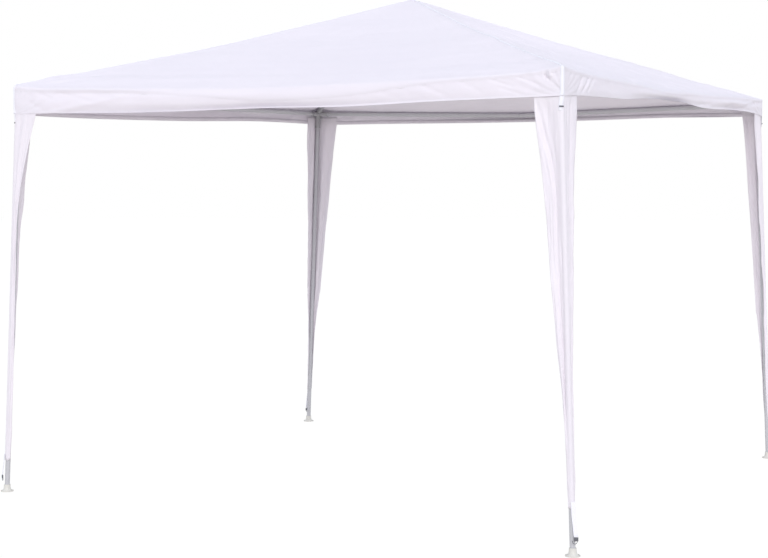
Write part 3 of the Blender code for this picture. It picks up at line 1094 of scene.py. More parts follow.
def roof_relief(side, u, out):
    """Height of the folds on a roof panel."""
    look = SIDE_LOOKS[side]
    seed = 17.0 * (SIDES.index(side) + 1)
    x = u * out
    climb = HALF - out
    hip = out - abs(x)
    height = 0.0
    for index, (at, depth, width) in enumerate(look["creases"]):
        drift = 0.045 * wave(x * 1.1, index * 3.1, seed) + 0.02 * x * wave(index, 0.5, seed)
        strength = max(0.0, 0.55 + 0.9 * wave(x * 1.3, 7 + index, seed))
        height += depth * strength * hump(climb, at + drift, width)
    broad = wave(x * 2.6, climb * 6.5, seed + 5)
    middle = wave(x * 5.0, climb * 15.0, seed + 9)
    small = wave(x * 9.0, climb * 28.0, seed + 13)
    height += look["crinkle"] * (1.2 * broad + 0.8 * middle + 0.5 * small)
    lines = wave(u * 9, out * 0.9, seed + 40) + 0.7 * wave(u * 20, out * 1.4, seed + 41)
    lines += 0.35 * wave(u * 44, out * 2.2, seed + 42)
    height += look["fan"] * lines * smooth(0.15, 0.6, out)
    pucker = math.sin(climb * 78 + 2.0 * wave(climb * 9, 0, seed + 3))
    height += 0.0013 * pucker * hump(hip, 0.024, 0.022)
    corner = math.hypot(hip, climb)
    spread = math.atan2(climb, hip + 0.02)
    height += 0.0020 * math.sin(spread * 15 + seed) * hump(corner, 0.20, 0.12)
    return height * smooth(0.0, 0.022, hip) * smooth(0.02, 0.20, out)


def valance_relief(side, u, height):
    """Outward shift of the valance at a height above the hem."""
    look = SIDE_LOOKS[side]
    seed = 17.0 * (SIDES.index(side) + 1)
    x = u * HALF
    gap = HALF - abs(x)
    rise = height / (crease_height(side, u) - hem_height(side, u))
    hang = 1 - smooth(0.0, 1.1, rise)
    loose = 0.12 + 0.88 * smooth(0.13, 0.30, gap)
    rolling = wave(x * 2.6, 0.4, seed + 21) + 0.5 * wave(x * 7.5, 0.9, seed + 22)
    shift = look["hem_wave"] * hang * loose * rolling
    for at, width, place, tall, depth in look["swells"]:
        swell = depth * hump(x, at, width) * hump(rise, place, tall)
        shift += swell * (loose if depth < 0 else 1.0)
    shift += straight_folds(look["folds"], x, height)
    reach = math.hypot(gap, height)
    angle = math.atan2(height + 0.008, gap + 0.012)
    pull = look["pull"][u > 0]
    folds = math.sin(angle * 27 + seed + 1.5 * wave(reach * 6, angle * 2, seed))
    shift += pull * folds * hump(reach, 0.17, 0.12) * smooth(0.05, 0.16, angle)
    shift += 0.0010 * wave(x * 9, height * 16, seed + 29) + 0.0006 * wave(x * 24, height * 34, seed + 30)
    return shift * smooth(0.0, 0.022, gap)


def rounded_plan(out, x):
    """A point on the rounded square at that distance out, and its level normal, for the front side."""
    radius = min(CORNER_ROUND, 0.4 * out)
    gap = out - abs(x)
    if gap >= radius or radius <= 0:
        return Vector((x, -out)), Vector((0, -1))
    angle = math.pi / 4 * (1 - gap / radius)
    normal = Vector((math.copysign(math.sin(angle), x), -math.cos(angle)))
    core = out - radius
    return Vector((math.copysign(core, x), -core)) + normal * radius, normal


@functools.lru_cache(maxsize=None)
def pole_line(side):
    """A side's eave pole: height at the middle, rise per metre towards a corner, distance out."""
    start, direction, _ = tube_stations("eave_pole_" + side + "_a")
    turn = Matrix.Rotation(-math.pi / 2 * SIDES.index(side), 3, "Z")
    start, direction = turn @ start, turn @ direction
    slope = direction.z / direction.x
    return start.z - slope * start.x, abs(slope), -start.y


def clear_of_pole(side, point):
    """The point, moved off the eave pole or off a fitting's arm where it would touch."""
    middle, slope, out = pole_line(side)
    x = abs(point.x)
    if x > out:
        return point
    arm = smooth(out - ARM_REACH - 0.014, out - ARM_REACH - 0.004, x)
    radius = TUBE_RADIUS + (ARM_RADIUS + COLLAR_EXTRA - TUBE_RADIUS) * arm
    radius += bpy.context.scene.gazebo_cover.sheet + 0.0006
    away = Vector((point.y + out, point.z - middle - slope * x))
    if away.length >= radius:
        return point
    away = away.normalized() * radius
    return Vector((point.x, away.x - out, away.y + middle + slope * x))


def cover_point(side, u, zone, share, inset=0.0):
    """A point of the cover on the front side's place, its normal and its UV in metres."""
    amount = bpy.context.scene.gazebo_cover.wrinkle
    (out, height), normal, above = fall_point(side, u, zone, share)
    out -= inset
    if zone == "roof":
        blend = smooth(0.0, 0.05, HALF - ROLL_INWARD - out)
        relief = roof_relief(side, u, out) * blend
        relief += valance_relief(side, u, above) * (1 - blend)
    else:
        relief = valance_relief(side, u, abs(above))
        if zone == "turned":
            relief = -relief
        if zone == "edge":
            relief *= normal.x
    plan, level = rounded_plan(out, u * out)
    facing = Vector((level.x * normal.x, level.y * normal.x, normal.y))
    point = Vector((plan.x, plan.y, height)) + facing * relief * amount
    return clear_of_pole(side, point), facing, (u * out, above)


def cover_sheet(name, columns, rows, nodes):
    """One sheet round all four sides, welded at the corners; columns gives a side's two spacings."""
    bm = bmesh.new()
    for index, side in enumerate(SIDES):
        from_left, from_right = (spaced(bands) for bands in columns(side))
        shares = [gap / HALF - 1 for gap in from_left]
        shares += [1 - gap / HALF for gap in reversed(from_right[:-1])]

        def place(column, row):
            point, _, uv = cover_point(side, shares[column], *rows[row])
            return point, uv

        verts = shaped_grid(bm, len(shares) - 1, len(rows) - 1, place)
        bmesh.ops.rotate(bm, cent=(0, 0, 0), matrix=Matrix.Rotation(math.pi / 2 * index, 3, "Z"), verts=verts)
    bmesh.ops.remove_doubles(bm, verts=bm.verts[:], dist=0.00002)
    bmesh.ops.recalc_face_normals(bm, faces=bm.faces[:])
    sheet = add_piece(name, to_mesh(name, bm), material("roof"), nodes)
    return thicken(sheet, bpy.context.scene.gazebo_cover.sheet)


def valance_share(step):
    """Shares of the valance's height, closer together at the hem and at the crease."""
    share = step / VALANCE_STEPS
    return 0.35 * share + 0.65 * (0.5 - 0.5 * math.cos(math.pi * share))


def build_cover():
    """The roof, one sheet from its lower edge to the peak, and the band of valances sewn under it."""
    roll = [("roll", step / ROLL_STEPS, 0) for step in range(ROLL_STEPS)]
    lap = [
        ("valance", 1 - LAP_SHARE * step / LAP_ROWS, LAP_SUNK * step / LAP_ROWS)
        for step in range(LAP_ROWS, 0, -1)
    ]
    roof_rows = lap + roll + [("roof", distance / HALF, 0) for distance in spaced(ROOF_ROWS)]
    panels = ["roof_panel_" + side for side in SIDES]
    roof = cover_sheet("sheet_roof", lambda side: (ROOF_COLUMNS[side],) * 2, roof_rows, panels)

    band_rows = [("turned", 1.0), ("turned", 0.45), ("edge", 0.0), ("edge", 0.5)]
    band_rows += [("valance", valance_share(step)) for step in range(VALANCE_STEPS)]
    band_rows += [row[:2] for row in roll[:2]]
    band_rows = [(*row, LAP_INSET) for row in band_rows]
    band = ["valance_" + side for side in SIDES]

    def valance_columns(side):
        return [SHARP_COLUMNS if end == "front_right" else SOFT_COLUMNS for end in side_ends(side)]

    valances = cover_sheet("sheet_valances", valance_columns, band_rows, band)


# Seams and tapes on the cover


# Across a hip seam: (offset, share of the seam's height)
SEAM_SHAPE = (
    (-0.0056, 0.05), (-0.0046, 0.5), (-0.0034, 1.0), (-0.0017, 1.0), (0.0, 1.0), (0.0017, 1.0), (0.0034, 1.0),
    (0.0046, 0.5), (0.0056, 0.05),
)
SEAM_ROWS = 210
TAPE_COLUMNS = 12
TAPE_ROWS = 26


def over_corner(index, offset, zone, share, rise):
    """A point over a hip or a corner's edge: offset across it, negative on the side it ends."""
    near = SIDES[index]
    far = SIDES[(index + 1) % 4]
    out = fall_point(near, 1.0, zone, share)[0].x
    bend = min(CORNER_ROUND, 0.4 * out)
    gap = abs(offset) / (math.pi / 4)
    if gap > bend:
        gap = bend + abs(offset) - bend * math.pi / 4
    u = 1 - gap / max(out, 0.02)
    if offset <= 0:
        point, facing, _ = cover_point(near, max(0.0, u), zone, share)
        return point + facing * rise
    point, facing, _ = cover_point(far, -max(0.0, u), zone, share)
    return Matrix.Rotation(math.pi / 2, 3, "Z") @ (point + facing * rise)


def build_hip_seams():
    """The felled seam along each hip: a raised band with puckers from its stitching."""
    high = bpy.context.scene.gazebo_cover.seam
    places = [("roll", 0.5), ("roll", 0.75)]
    places += [("roof", 0.985 * row / (SEAM_ROWS - 2)) for row in range(SEAM_ROWS - 1)]
    for index, corner in enumerate(CORNERS):
        bm = bmesh.new()

        def place(column, row):
            offset, rise = SEAM_SHAPE[column]
            zone, share = places[row]
            stitched = 0.22 * math.sin(share * 400 + 3 * wave(share * 30, 1, index))
            puckered = 0.3 * wave(share * 70, offset * 200, 3)
            rise *= high * (1 + stitched + puckered)
            return over_corner(index, offset, zone, share, rise), (offset, share * HALF)

        shaped_grid(bm, len(SEAM_SHAPE) - 1, SEAM_ROWS, place)
        bmesh.ops.recalc_face_normals(bm, faces=bm.faces[:])
        turn = Matrix.Rotation(math.pi / 2 * index, 3, "Z")
        bmesh.ops.rotate(bm, cent=(0, 0, 0), matrix=turn, verts=bm.verts[:])
        name = "hip_seam_" + corner
        seam = add_piece(name, to_mesh(name, bm), material("webbing"))
        thicken(seam, 0.0004)


def ribbon(name, stations, width, thickness, key, columns=6, crown=0.0):
    """A flat strap through stations of (middle, across, outward); crown bends its edges back."""
    bm = bmesh.new()
    lengths = [0.0]
    for (first, _, _), (second, _, _) in zip(stations, stations[1:]):
        lengths.append(lengths[-1] + (second - first).length)

    def place(column, row):
        middle, across, outward = stations[row]
        share = column / columns * 2 - 1
        point = middle + across * (share * width / 2) - outward * (crown * share * share)
        return point, (share * width / 2, lengths[row])

    shaped_grid(bm, columns, len(stations) - 1, place)
    strap = add_piece(name, to_mesh(name, bm), material(key))
    thicken(strap, thickness, 0.0)
    bevel = strap.modifiers.new("Edges", "BEVEL")
    bevel.width = thickness * 0.3
    bevel.segments = 2
    bevel.limit_method = "ANGLE"
    bevel.angle_limit = math.radians(50)
    return strap


def through(points, steps):
    """Even points on a smooth curve through the given ones."""
    curve = []
    last = len(points) - 1
    for i in range(last):
        before = points[max(0, i - 1)]
        first = points[i]
        second = points[i + 1]
        after = points[min(last, i + 2)]
        lead = (second - before) / 2 if i else second - first
        trail = (after - first) / 2 if i + 2 <= last else second - first
        for step in range(steps):
            t = step / steps
            rise = t * t * (3 - 2 * t)
            curve.append(first.lerp(second, rise) + lead * (t * (1 - t) ** 2) - trail * (t * t * (1 - t)))
    curve.append(points[-1])
    return curve


def strap_stations(curve, outward):
    """Stations of a strap that runs along a curve and keeps facing outward."""
    stations = []
    for index, point in enumerate(curve):
        ahead = curve[min(index + 1, len(curve) - 1)] - curve[max(index - 1, 0)]
        across = outward.cross(ahead).normalized()
        stations.append((point, across, ahead.cross(across).normalized()))
    return stations


def build_corner_tapes():
    """Tape sewn down each corner of the valance, with a loose end below the hem and a small dark block at
    that end, which is painted shadow.
    """
    width = bpy.context.scene.gazebo_skirts.tape_width
    for index, (corner, (sign_x, sign_y)) in enumerate(CORNERS.items()):
        bm = bmesh.new()
        shares = [("valance", 0.01 + 0.99 * row / 20) for row in range(20)]
        shares += [("roll", row / 7) for row in range(TAPE_ROWS - 20 + 1)]

        def place(column, row):
            offset = (column / TAPE_COLUMNS - 0.5) * width
            zone, share = shares[row]
            lapped = smooth(0.86, 0.94, share) if zone == "valance" else 1.0
            rise = 0.0014 - LAP_INSET * (1 - lapped)
            return over_corner(index, offset, zone, share, rise), (offset, row * 0.005)

        shaped_grid(bm, TAPE_COLUMNS, TAPE_ROWS, place)
        bmesh.ops.recalc_face_normals(bm, faces=bm.faces[:])
        turn = Matrix.Rotation(math.pi / 2 * index, 3, "Z")
        bmesh.ops.rotate(bm, cent=(0, 0, 0), matrix=turn, verts=bm.verts[:])
        name = "corner_tape_" + corner
        tape = add_piece(name, to_mesh(name, bm), material("webbing"))
        thicken(tape, 0.0010)

        diagonal = Vector((sign_x, sign_y, 0)).normalized()
        across = Vector((-sign_y, sign_x, 0)).normalized() * -1
        lean = HALF - CORNER_ROUND * (1 - math.sqrt(0.5))

        def at(out, below, shift):
            level = Vector((sign_x, sign_y, 0)) * (lean + out)
            return level + Vector((0, 0, HEM_Z[corner] - below)) + across * shift

        points = [
            at(-0.0036, -0.020, 0.0),
            at(-0.0030, -0.004, 0.0),
            at(-0.0026, 0.010, 0.0010),
            at(-0.0034, 0.026, 0.0025),
            at(-0.0040, 0.042, 0.0036),
            at(-0.0044, 0.060, 0.0036),
        ]
        stations = strap_stations(through(points, 6), diagonal)
        ribbon("corner_loop_" + corner, stations, width * 0.92, 0.0011, "webbing", crown=0.0050)
        # The dark block at the loop's end is painted shadow, where the tape's loose end tucks in against the
        # skirt
        clip_and_painted_shadow = at(-0.0040, 0.0425, 0.0036)
        add_clip_and_shadow_block("corner_painted_shadow_" + corner, clip_and_painted_shadow, diagonal, (0.021, 0.0050, 0.0065))


def add_clip_and_shadow_block(name, middle, facing, size):
    """A small dark block, rounded all over, whose broad face looks outward: a moulded clip on a tie, and
    painted shadow at a corner tape's loose end.
    """
    bm = bmesh.new()
    bmesh.ops.create_cube(bm, size=1)
    bmesh.ops.scale(bm, vec=size, verts=bm.verts[:])
    bmesh.ops.bevel(
        bm,
        geom=bm.edges[:],
        offset=min(size) * 0.3,
        segments=4,
        profile=0.5,
        affect="EDGES",
        material=-1,
    )
    turn = facing.to_track_quat("-Y", "Z").to_matrix().to_4x4()
    bmesh.ops.transform(bm, matrix=Matrix.Translation(middle) @ turn, verts=bm.verts[:])
    return add_piece(name, to_mesh(name, bm, 40), material("clip_and_painted_shadow"))


# Leg skirts


# A skirt's wings: first the one on the front or back side, then the one on the left or right side.
#   edges: (height, reach of the free edge past the leg's axis)
#   folds: (path of (height, share across), outward shift, width as a share)
#   curls: outward shift of the free edge at the hem and at the foot
SKIRT_LOOKS = {
    "front_right": {
        "bottom": 0.205,
        "edges": (
            (
                (0.20, 0.013), (0.50, 0.0226), (0.80, 0.037), (1.31, 0.067), (1.55, 0.080), (1.83, 0.107),
                (1.96, 0.117),
            ),
            (
                (0.20, 0.010), (0.54, 0.012), (0.84, 0.022), (1.30, 0.057), (1.55, 0.076), (1.73, 0.106),
                (1.96, 0.144),
            ),
        ),
        "folds": (
            (
                (((0.55, 0.60), (1.30, 0.55), (1.62, 0.52), (1.83, 0.80), (1.96, 0.97)), -0.0060, 0.070),
                (((0.55, 0.48), (1.30, 0.42), (1.62, 0.40), (1.83, 0.58), (1.96, 0.70)), -0.0065, 0.200),
                (((1.30, 0.68), (1.45, 0.64), (1.62, 0.66), (1.75, 0.82), (1.88, 0.98)), 0.0034, 0.036),
                (((1.25, 0.82), (1.45, 0.78), (1.62, 0.82), (1.74, 0.94)), 0.0026, 0.034),
                (((1.40, 0.90), (1.60, 0.92)), -0.0020, 0.030),
                (((0.25, 0.70), (0.80, 0.78), (1.20, 0.84)), 0.0040, 0.080),
                (((0.25, 0.40), (1.20, 0.40)), -0.0025, 0.120),
            ),
            (
                (((0.25, 0.16), (1.96, 0.14)), -0.0045, 0.050),
                (((0.25, 0.40), (1.96, 0.38)), 0.0030, 0.090),
                (((0.25, 0.64), (1.96, 0.62)), -0.0060, 0.050),
                (((0.25, 0.86), (1.96, 0.84)), 0.0035, 0.080),
            ),
        ),
        "curls": ((0.002, -0.001), (0.001, 0.0)),
    },
    "back_right": {
        "bottom": 0.225,
        "edges": (
            ((0.20, 0.015), (0.69, 0.043), (1.15, 0.0585), (1.56, 0.075), (1.87, 0.0865), (1.99, 0.096)),
            ((0.20, 0.015), (0.80, 0.036), (1.30, 0.066), (1.70, 0.096), (1.99, 0.122)),
        ),
        "folds": (
            (
                (((0.25, 0.55), (1.96, 0.70)), 0.0050, 0.12),
                (((0.25, 0.40), (1.96, 0.45)), -0.0040, 0.11),
                (((0.25, 0.80), (1.96, 0.88)), -0.0030, 0.07),
            ),
            (
                (((0.25, 0.55), (1.96, 0.62)), 0.0050, 0.10),
                (((0.25, 0.45), (1.96, 0.35)), -0.0045, 0.09),
                (((0.25, 0.80), (1.96, 0.85)), -0.0035, 0.07),
            ),
        ),
        "curls": ((0.0, 0.0), (-0.002, 0.0)),
    },
    "back_left": {
        "bottom": 0.220,
        "edges": (
            ((0.20, 0.012), (0.70, 0.040), (1.15, 0.066), (1.46, 0.089), (1.82, 0.117), (1.99, 0.135)),
            (
                (0.20, 0.015), (0.70, 0.036), (1.15, 0.054), (1.37, 0.060), (1.55, 0.078), (1.79, 0.092),
                (1.99, 0.104),
            ),
        ),
        "folds": (
            (
                (((0.25, 0.60), (1.96, 0.78)), 0.0050, 0.10),
                (((0.25, 0.42), (1.96, 0.50)), -0.0045, 0.10),
                (((0.25, 0.25), (1.96, 0.25)), 0.0025, 0.08),
            ),
            (
                (((0.25, 0.60), (1.96, 0.66)), 0.0050, 0.10),
                (((0.25, 0.80), (1.96, 0.86)), -0.0045, 0.08),
                (((0.25, 0.40), (1.96, 0.36)), -0.0030, 0.09),
            ),
        ),
        "curls": ((0.001, 0.0), (0.0, 0.0)),
    },
    "front_left": {
        "bottom": 0.165,
        "edges": (
            (
                (0.16, 0.026), (0.68, 0.029), (1.24, 0.0235), (1.45, 0.0265), (1.60, 0.050), (1.74, 0.075),
                (1.86, 0.105), (1.94, 0.130),
            ),
            (
                (0.16, 0.018), (0.60, 0.034), (1.00, 0.048), (1.34, 0.057), (1.47, 0.075), (1.65, 0.092),
                (1.94, 0.122),
            ),
        ),
        "folds": (
            (
                (((0.25, 0.50), (1.96, 0.55)), 0.0045, 0.12),
                (((0.25, 0.70), (1.96, 0.82)), -0.0040, 0.09),
                (((0.25, 0.30), (1.96, 0.28)), -0.0030, 0.08),
            ),
            (
                (((0.25, 0.55), (1.96, 0.60)), 0.0045, 0.12),
                (((0.25, 0.40), (1.96, 0.36)), -0.0035, 0.10),
                (((0.25, 0.80), (1.96, 0.85)), 0.0030, 0.08),
            ),
        ),
        "curls": ((-0.002, 0.001), (0.001, 0.0)),
    },
}


def wing_reach(corner, wing, height):
    return curve_at(SKIRT_LOOKS[corner]["edges"][wing], height)


def skirt_relief(corner, wing, share, height, climb, run):
    """Outward shift of a skirt's wing: folds, a hollow beside the leg and a curled free edge."""
    look = SKIRT_LOOKS[corner]
    seed = 11.0 * (list(CORNERS).index(corner) + 1) + 5 * wing
    hang = smooth(0.0, 0.10, climb) * (1 - smooth(0.965, 1.01, climb))
    shift = 0.0
    for index, (path, depth, width) in enumerate(look["folds"][wing]):
        centre = curve_at(path, height) + 0.025 * wave(climb * 6, 2.0 + index, seed)
        strength = 1 + 0.5 * wave(climb * 4, 5.0 + index, seed)
        strength *= smooth(path[0][0] - 0.1, path[0][0] + 0.1, height)
        if path[-1][0] < 1.95:
            strength *= 1 - smooth(path[-1][0] - 0.1, path[-1][0] + 0.1, height)
        shift += depth * strength * hump(share, centre, width) * hang
    shift -= 0.0035 * smooth(0.013, 0.030, run) * (1 - smooth(0.6, 1.0, share)) * hang
    shift += 0.0014 * wave(share * 7, climb * 9, seed + 1) * hang
    shift += 0.0011 * wave(share * 15 + climb * 8, climb * 22, seed + 2) * hang
    low, high = look["curls"][wing][1], look["curls"][wing][0]
    curl = low + (high - low) * climb + 0.0030 * wave(climb * 8.0, 4.0, seed + 3)
    shift += curl * smooth(0.80, 1.0, share) * hang
    gather = (1 - smooth(0.0, 0.16, climb)) * smooth(0.2, 0.5, share)
    shift += 0.0012 * math.sin(share * 17 + seed) * gather
    return shift


def skirt_section(corner, wing, share, height, climb):
    """(along, outward) of a wing's point from the leg's axis, with along towards the corner."""
    rise = smooth(0.0, 1.0, climb)
    stands = [STAND_BOTTOM + (top - STAND_BOTTOM) * rise for top in STAND_TOP]
    outward, along = stands[wing], stands[1 - wing]
    radius = min(stands) - 0.002
    run = share * (wing_reach(corner, wing, height) + along)
    if run < radius:
        angle = math.pi / 4 * (1 - run / radius)
        return along - radius * (1 - math.sin(angle)), outward - radius * (1 - math.cos(angle)), run
    past = along - run
    shift = skirt_relief(corner, wing, share, height, climb, abs(min(0.0, past)))
    shift *= smooth(radius, radius + 0.012, run) * bpy.context.scene.gazebo_skirts.fold
    straight = Vector((past, outward + shift))
    if straight.length < LEG_CLEAR:
        straight = straight.normalized() * LEG_CLEAR
    if past >= 0:
        return straight.x, straight.y, run
    angle = -past / (outward + 0.001)
    wrapped = Vector((-math.sin(angle), math.cos(angle))) * max(LEG_CLEAR, outward + shift)
    wrap = 1 - smooth(0.02, 0.42, climb)
    if angle > math.pi * 0.9:
        wrap = 0.0
    mixed = straight.lerp(wrapped, wrap)
    return mixed.x, mixed.y, run


def build_skirts():
    """Two wings of thin sheet round the outside of each leg, hung from the valance."""
    for corner, (sign_x, sign_y) in CORNERS.items():
        axis = leg_axis(corner)
        hem = HEM_Z[corner]
        top = hem + SKIRT_TUCK
        base = SKIRT_LOOKS[corner]["bottom"]
        bm = bmesh.new()

        def place(column, row):
            signed = column / SKIRT_COLUMNS - 1
            share = abs(signed) ** 1.15
            wing = 0 if signed < 0 else 1
            wavy = 0.006 * wave(signed * 2.4, 1.0, 3 + sign_x + 2 * sign_y)
            bottom = base + wavy
            height = bottom + (top - bottom) * row / SKIRT_ROWS
            climb = (height - base) / (hem - base)
            run, outward, flat = skirt_section(corner, wing, share, height, climb)
            middle = axis(height)
            if wing == 0:
                point = Vector((middle.x + sign_x * run, middle.y + sign_y * outward, height))
            else:
                point = Vector((middle.x + sign_x * outward, middle.y + sign_y * run, height))
            return point, (math.copysign(flat, signed), height)

        shaped_grid(bm, 2 * SKIRT_COLUMNS, SKIRT_ROWS, place)
        face = min(bm.faces, key=lambda f: (f.calc_center_median() - axis(f.calc_center_median().z)).length)
        middle = face.calc_center_median()
        if face.normal.dot(middle - axis(middle.z)) < 0:
            bmesh.ops.reverse_faces(bm, faces=bm.faces[:])
        name = "sheet_skirt_" + corner
        skirt = add_piece(name, to_mesh(name, bm), material("skirt"), ["leg_skirt_" + corner])
        thicken(skirt, 0.0008)


# Ties at the foot of each skirt


def build_ties():
    """A tie strap from each skirt's lower edge, ending in a clip with a small hook."""
    width = bpy.context.scene.gazebo_skirts.strap_width
    for corner, (sign_x, sign_y) in CORNERS.items():
        axis = leg_axis(corner)
        base = SKIRT_LOOKS[corner]["bottom"]

        def off(height, out_x, out_y):
            return axis(height) + Vector((sign_x * out_x, sign_y * out_y, 0))

        points = [
            off(base + 0.030, 0.0128, 0.0132),
            off(base + 0.010, 0.0134, 0.0138),
            off(base * 0.7 + 0.030, 0.0150, 0.0142),
            off(base * 0.4 + 0.054, 0.0185, 0.0138),
            off(0.086, 0.0220, 0.0130),
        ]
        facing = Vector((sign_x * 0.62, sign_y * 0.79, 0)).normalized()
        name = "tie_strap_" + corner
        stations = strap_stations(through(points, 6), facing)
        ribbon(name, stations, width, 0.0012, "webbing")
        clip_at = off(0.0765, 0.0226, 0.0128)
        add_clip_and_shadow_block("tie_clip_" + corner, clip_at, facing, (0.019, 0.0055, 0.017))
        across = Vector((0, 0, 1)).cross(facing).normalized()
        if across.dot(Vector((sign_x, 0, 0))) < 0:
            across = -across
        hook_points = [
            clip_at + across * 0.006 + Vector((0, 0, -0.006)),
            clip_at + across * 0.004 + Vector((0, 0, -0.014)),
            clip_at - across * 0.004 + Vector((0, 0, -0.020)),
            clip_at - across * 0.013 + Vector((0, 0, -0.016)),
            clip_at - across * 0.017 + Vector((0, 0, -0.006)),
        ]
        add_wire("tie_hook_" + corner, through(hook_points, 6), 0.0013)


def add_wire(name, points, radius):
    """A round wire along the points, with closed ends."""
    bm = bmesh.new()
    start = along(points[0], points[1])
    bmesh.ops.create_circle(bm, cap_ends=True, segments=12, radius=radius, matrix=start)
    face = bm.faces[:][0]
    for index in range(1, len(points)):
        ahead = points[min(index + 1, len(points) - 1)]
        behind = points[index - 1]
        target = along(points[index], points[index] + (ahead - behind))
        face = bmesh.ops.extrude_discrete_faces(bm, faces=[face])["faces"][0]
        previous = along(points[index - 1], points[index - 1] + (points[index] - points[max(0, index - 2)]))
        origin = previous if index > 1 else start
        bmesh.ops.transform(bm, matrix=target @ origin.inverted(), verts=face.verts[:])
    bmesh.ops.recalc_face_normals(bm, faces=bm.faces[:])
    return add_piece(name, to_mesh(name, bm, 50), material("clip_and_painted_shadow"))


# Studio


def studio_floor():
    """Matt white floor, lit from below so that it meets the white backdrop without an edge."""
    paper = new_material("matt_studio_floor")
    tree = paper.node_tree
    seen = add_node(tree, "ShaderNodeLightPath")
    white = add_node(tree, "ShaderNodeBsdfDiffuse", {}, {"Color": (0.04, 0.04, 0.04, 1.0)})
    lit = add_node(tree, "ShaderNodeEmission", {}, {"Color": (1.0, 1.0, 1.0, 1.0), "Strength": 0.97})
    both = add_node(tree, "ShaderNodeAddShader", {}, {0: white.outputs["BSDF"], 1: lit.outputs["Emission"]})
    dull = add_node(tree, "ShaderNodeBsdfDiffuse", {}, {"Color": (0.80, 0.76, 0.71, 1.0)})
    surface = add_node(
        tree,
        "ShaderNodeMixShader",
        {},
        {"Fac": seen.outputs["Is Camera Ray"], 1: dull.outputs["BSDF"], 2: both.outputs["Shader"]},
    )
    add_node(tree, "ShaderNodeOutputMaterial", {}, {"Surface": surface.outputs["Shader"]})
    return paper


def studio_world(strength):
    """White backdrop; the light it gives is a little dimmer and cooler than it looks."""
    world = bpy.data.worlds.new("studio")
    world.use_nodes = True
    tree = world.node_tree
    tree.nodes.clear()
    seen = add_node(tree, "ShaderNodeLightPath")
    white = add_node(tree, "ShaderNodeBackground", {}, {"Color": (1.0, 1.0, 1.0, 1.0), "Strength": 1.0})
    cool = add_node(tree, "ShaderNodeBackground", {}, {"Color": (0.86, 0.92, 1.0, 1.0), "Strength": strength})
    light = add_node(
        tree,
        "ShaderNodeMixShader",
        {},
        {"Fac": seen.outputs["Is Camera Ray"], 1: cool.outputs["Background"], 2: white.outputs["Background"]},
    )
    add_node(tree, "ShaderNodeOutputWorld", {}, {"Surface": light.outputs["Shader"]})
    return world


def build_stage():
    """A pale floor, even light with one soft key, and the camera."""
    studio = bpy.context.scene.gazebo_studio
    scene = bpy.context.scene
    scene.view_settings.view_transform = "Standard"

    bm = bmesh.new()
    bmesh.ops.create_circle(bm, cap_ends=True, segments=128, radius=studio.floor_radius)
    floor = bpy.data.objects.new("floor", to_mesh("floor", bm))
    floor.data.materials.append(studio_floor())
    scene.collection.objects.link(floor)
    scene.world = studio_world(studio.ambient)

    key_data = bpy.data.lights.new("key", "SUN")
    key_data.energy = studio.key
    key_data.angle = math.radians(40)
    key_data.color = (1.0, 0.975, 0.98)
    key = bpy.data.objects.new("key", key_data)
    key.rotation_mode = "QUATERNION"
    key.rotation_quaternion = Vector((-0.48, 0.763, -0.432)).to_track_quat("-Z", "Y")
    scene.collection.objects.link(key)

    camera_data = bpy.data.cameras.new("camera")
    camera_data.lens = studio.lens
    camera_data.sensor_width = 36.0
    camera_data.clip_end = 400.0
    camera = bpy.data.objects.new("camera", camera_data)
    camera.matrix_world = (
        Matrix.Translation(studio.camera_place)
        @ Matrix.Rotation(studio.camera_turn, 4, "Z")
        @ Matrix.Rotation(math.pi / 2 + studio.camera_pitch, 4, "X")
        @ Matrix.Rotation(studio.camera_roll, 4, "Z")
    )
    scene.collection.objects.link(camera)
    scene.camera = camera


# Operators, panel and registration


class GAZEBO_OT_stage(bpy.types.Operator):
    """Make the floor, the lights and the camera"""

    bl_idname = "gazebo.stage"
    bl_label = "Stage"

    def execute(self, context):
        build_stage()
        return {"FINISHED"}


class GAZEBO_OT_tubes(bpy.types.Operator):
    """Make the round swaged tubes of the frame"""

    bl_idname = "gazebo.tubes"
    bl_label = "Tubes"

    def execute(self, context):
        build_tubes()
        return {"FINISHED"}


class GAZEBO_OT_fittings(bpy.types.Operator):
    """Make the corner fittings and the crown fitting"""

    bl_idname = "gazebo.fittings"
    bl_label = "Fittings"

    def execute(self, context):
        build_corner_fittings()
        build_crown()
        return {"FINISHED"}


class GAZEBO_OT_feet(bpy.types.Operator):
    """Make the round feet"""

    bl_idname = "gazebo.feet"
    bl_label = "Feet"

    def execute(self, context):
        build_feet()
        return {"FINISHED"}


class GAZEBO_OT_cover(bpy.types.Operator):
    """Make the sheet cover with its roof, valances and hems"""

    bl_idname = "gazebo.cover"
    bl_label = "Cover"

    def execute(self, context):
        build_cover()
        return {"FINISHED"}


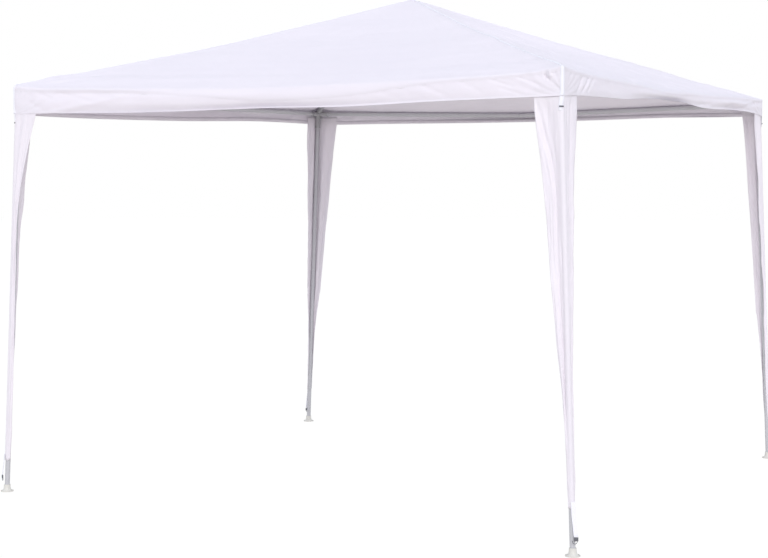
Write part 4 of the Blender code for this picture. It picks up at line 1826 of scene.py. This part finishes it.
class GAZEBO_OT_seams(bpy.types.Operator):
    """Make the hip seams and the corner tapes"""

    bl_idname = "gazebo.seams"
    bl_label = "Seams and tapes"

    def execute(self, context):
        build_hip_seams()
        build_corner_tapes()
        return {"FINISHED"}


class GAZEBO_OT_skirts(bpy.types.Operator):
    """Make the leg skirts"""

    bl_idname = "gazebo.skirts"
    bl_label = "Leg skirts"

    def execute(self, context):
        build_skirts()
        return {"FINISHED"}


class GAZEBO_OT_ties(bpy.types.Operator):
    """Make the tie straps, clips and hooks"""

    bl_idname = "gazebo.ties"
    bl_label = "Ties"

    def execute(self, context):
        build_ties()
        return {"FINISHED"}


STEPS = (
    GAZEBO_OT_stage,
    GAZEBO_OT_tubes,
    GAZEBO_OT_fittings,
    GAZEBO_OT_feet,
    GAZEBO_OT_cover,
    GAZEBO_OT_seams,
    GAZEBO_OT_skirts,
    GAZEBO_OT_ties,
)


class GAZEBO_PT_panel(bpy.types.Panel):
    """Lists the gazebo's sizes and the steps that make it"""

    bl_idname = "GAZEBO_PT_panel"
    bl_label = "Garden gazebo"
    bl_space_type = "VIEW_3D"
    bl_region_type = "UI"
    bl_category = "Gazebo"

    def draw(self, context):
        scene = context.scene
        for group in (scene.gazebo_cover, scene.gazebo_skirts, scene.gazebo_studio):
            box = self.layout.box()
            for name in group.__annotations__:
                box.prop(group, name)
        for step in STEPS:
            self.layout.operator(step.bl_idname)


CLASSES = (GazeboCover, GazeboSkirts, GazeboStudio, *STEPS, GAZEBO_PT_panel)


def register():
    for cls in CLASSES:
        bpy.utils.register_class(cls)
    bpy.types.Scene.gazebo_cover = bpy.props.PointerProperty(type=GazeboCover)
    bpy.types.Scene.gazebo_skirts = bpy.props.PointerProperty(type=GazeboSkirts)
    bpy.types.Scene.gazebo_studio = bpy.props.PointerProperty(type=GazeboStudio)


def unregister():
    del bpy.types.Scene.gazebo_studio
    del bpy.types.Scene.gazebo_skirts
    del bpy.types.Scene.gazebo_cover
    for cls in reversed(CLASSES):
        bpy.utils.unregister_class(cls)


def main():
    register()
    for step in STEPS:
        group, name = step.bl_idname.split(".")
        getattr(getattr(bpy.ops, group), name)()


if __name__ == "__main__":
    main()
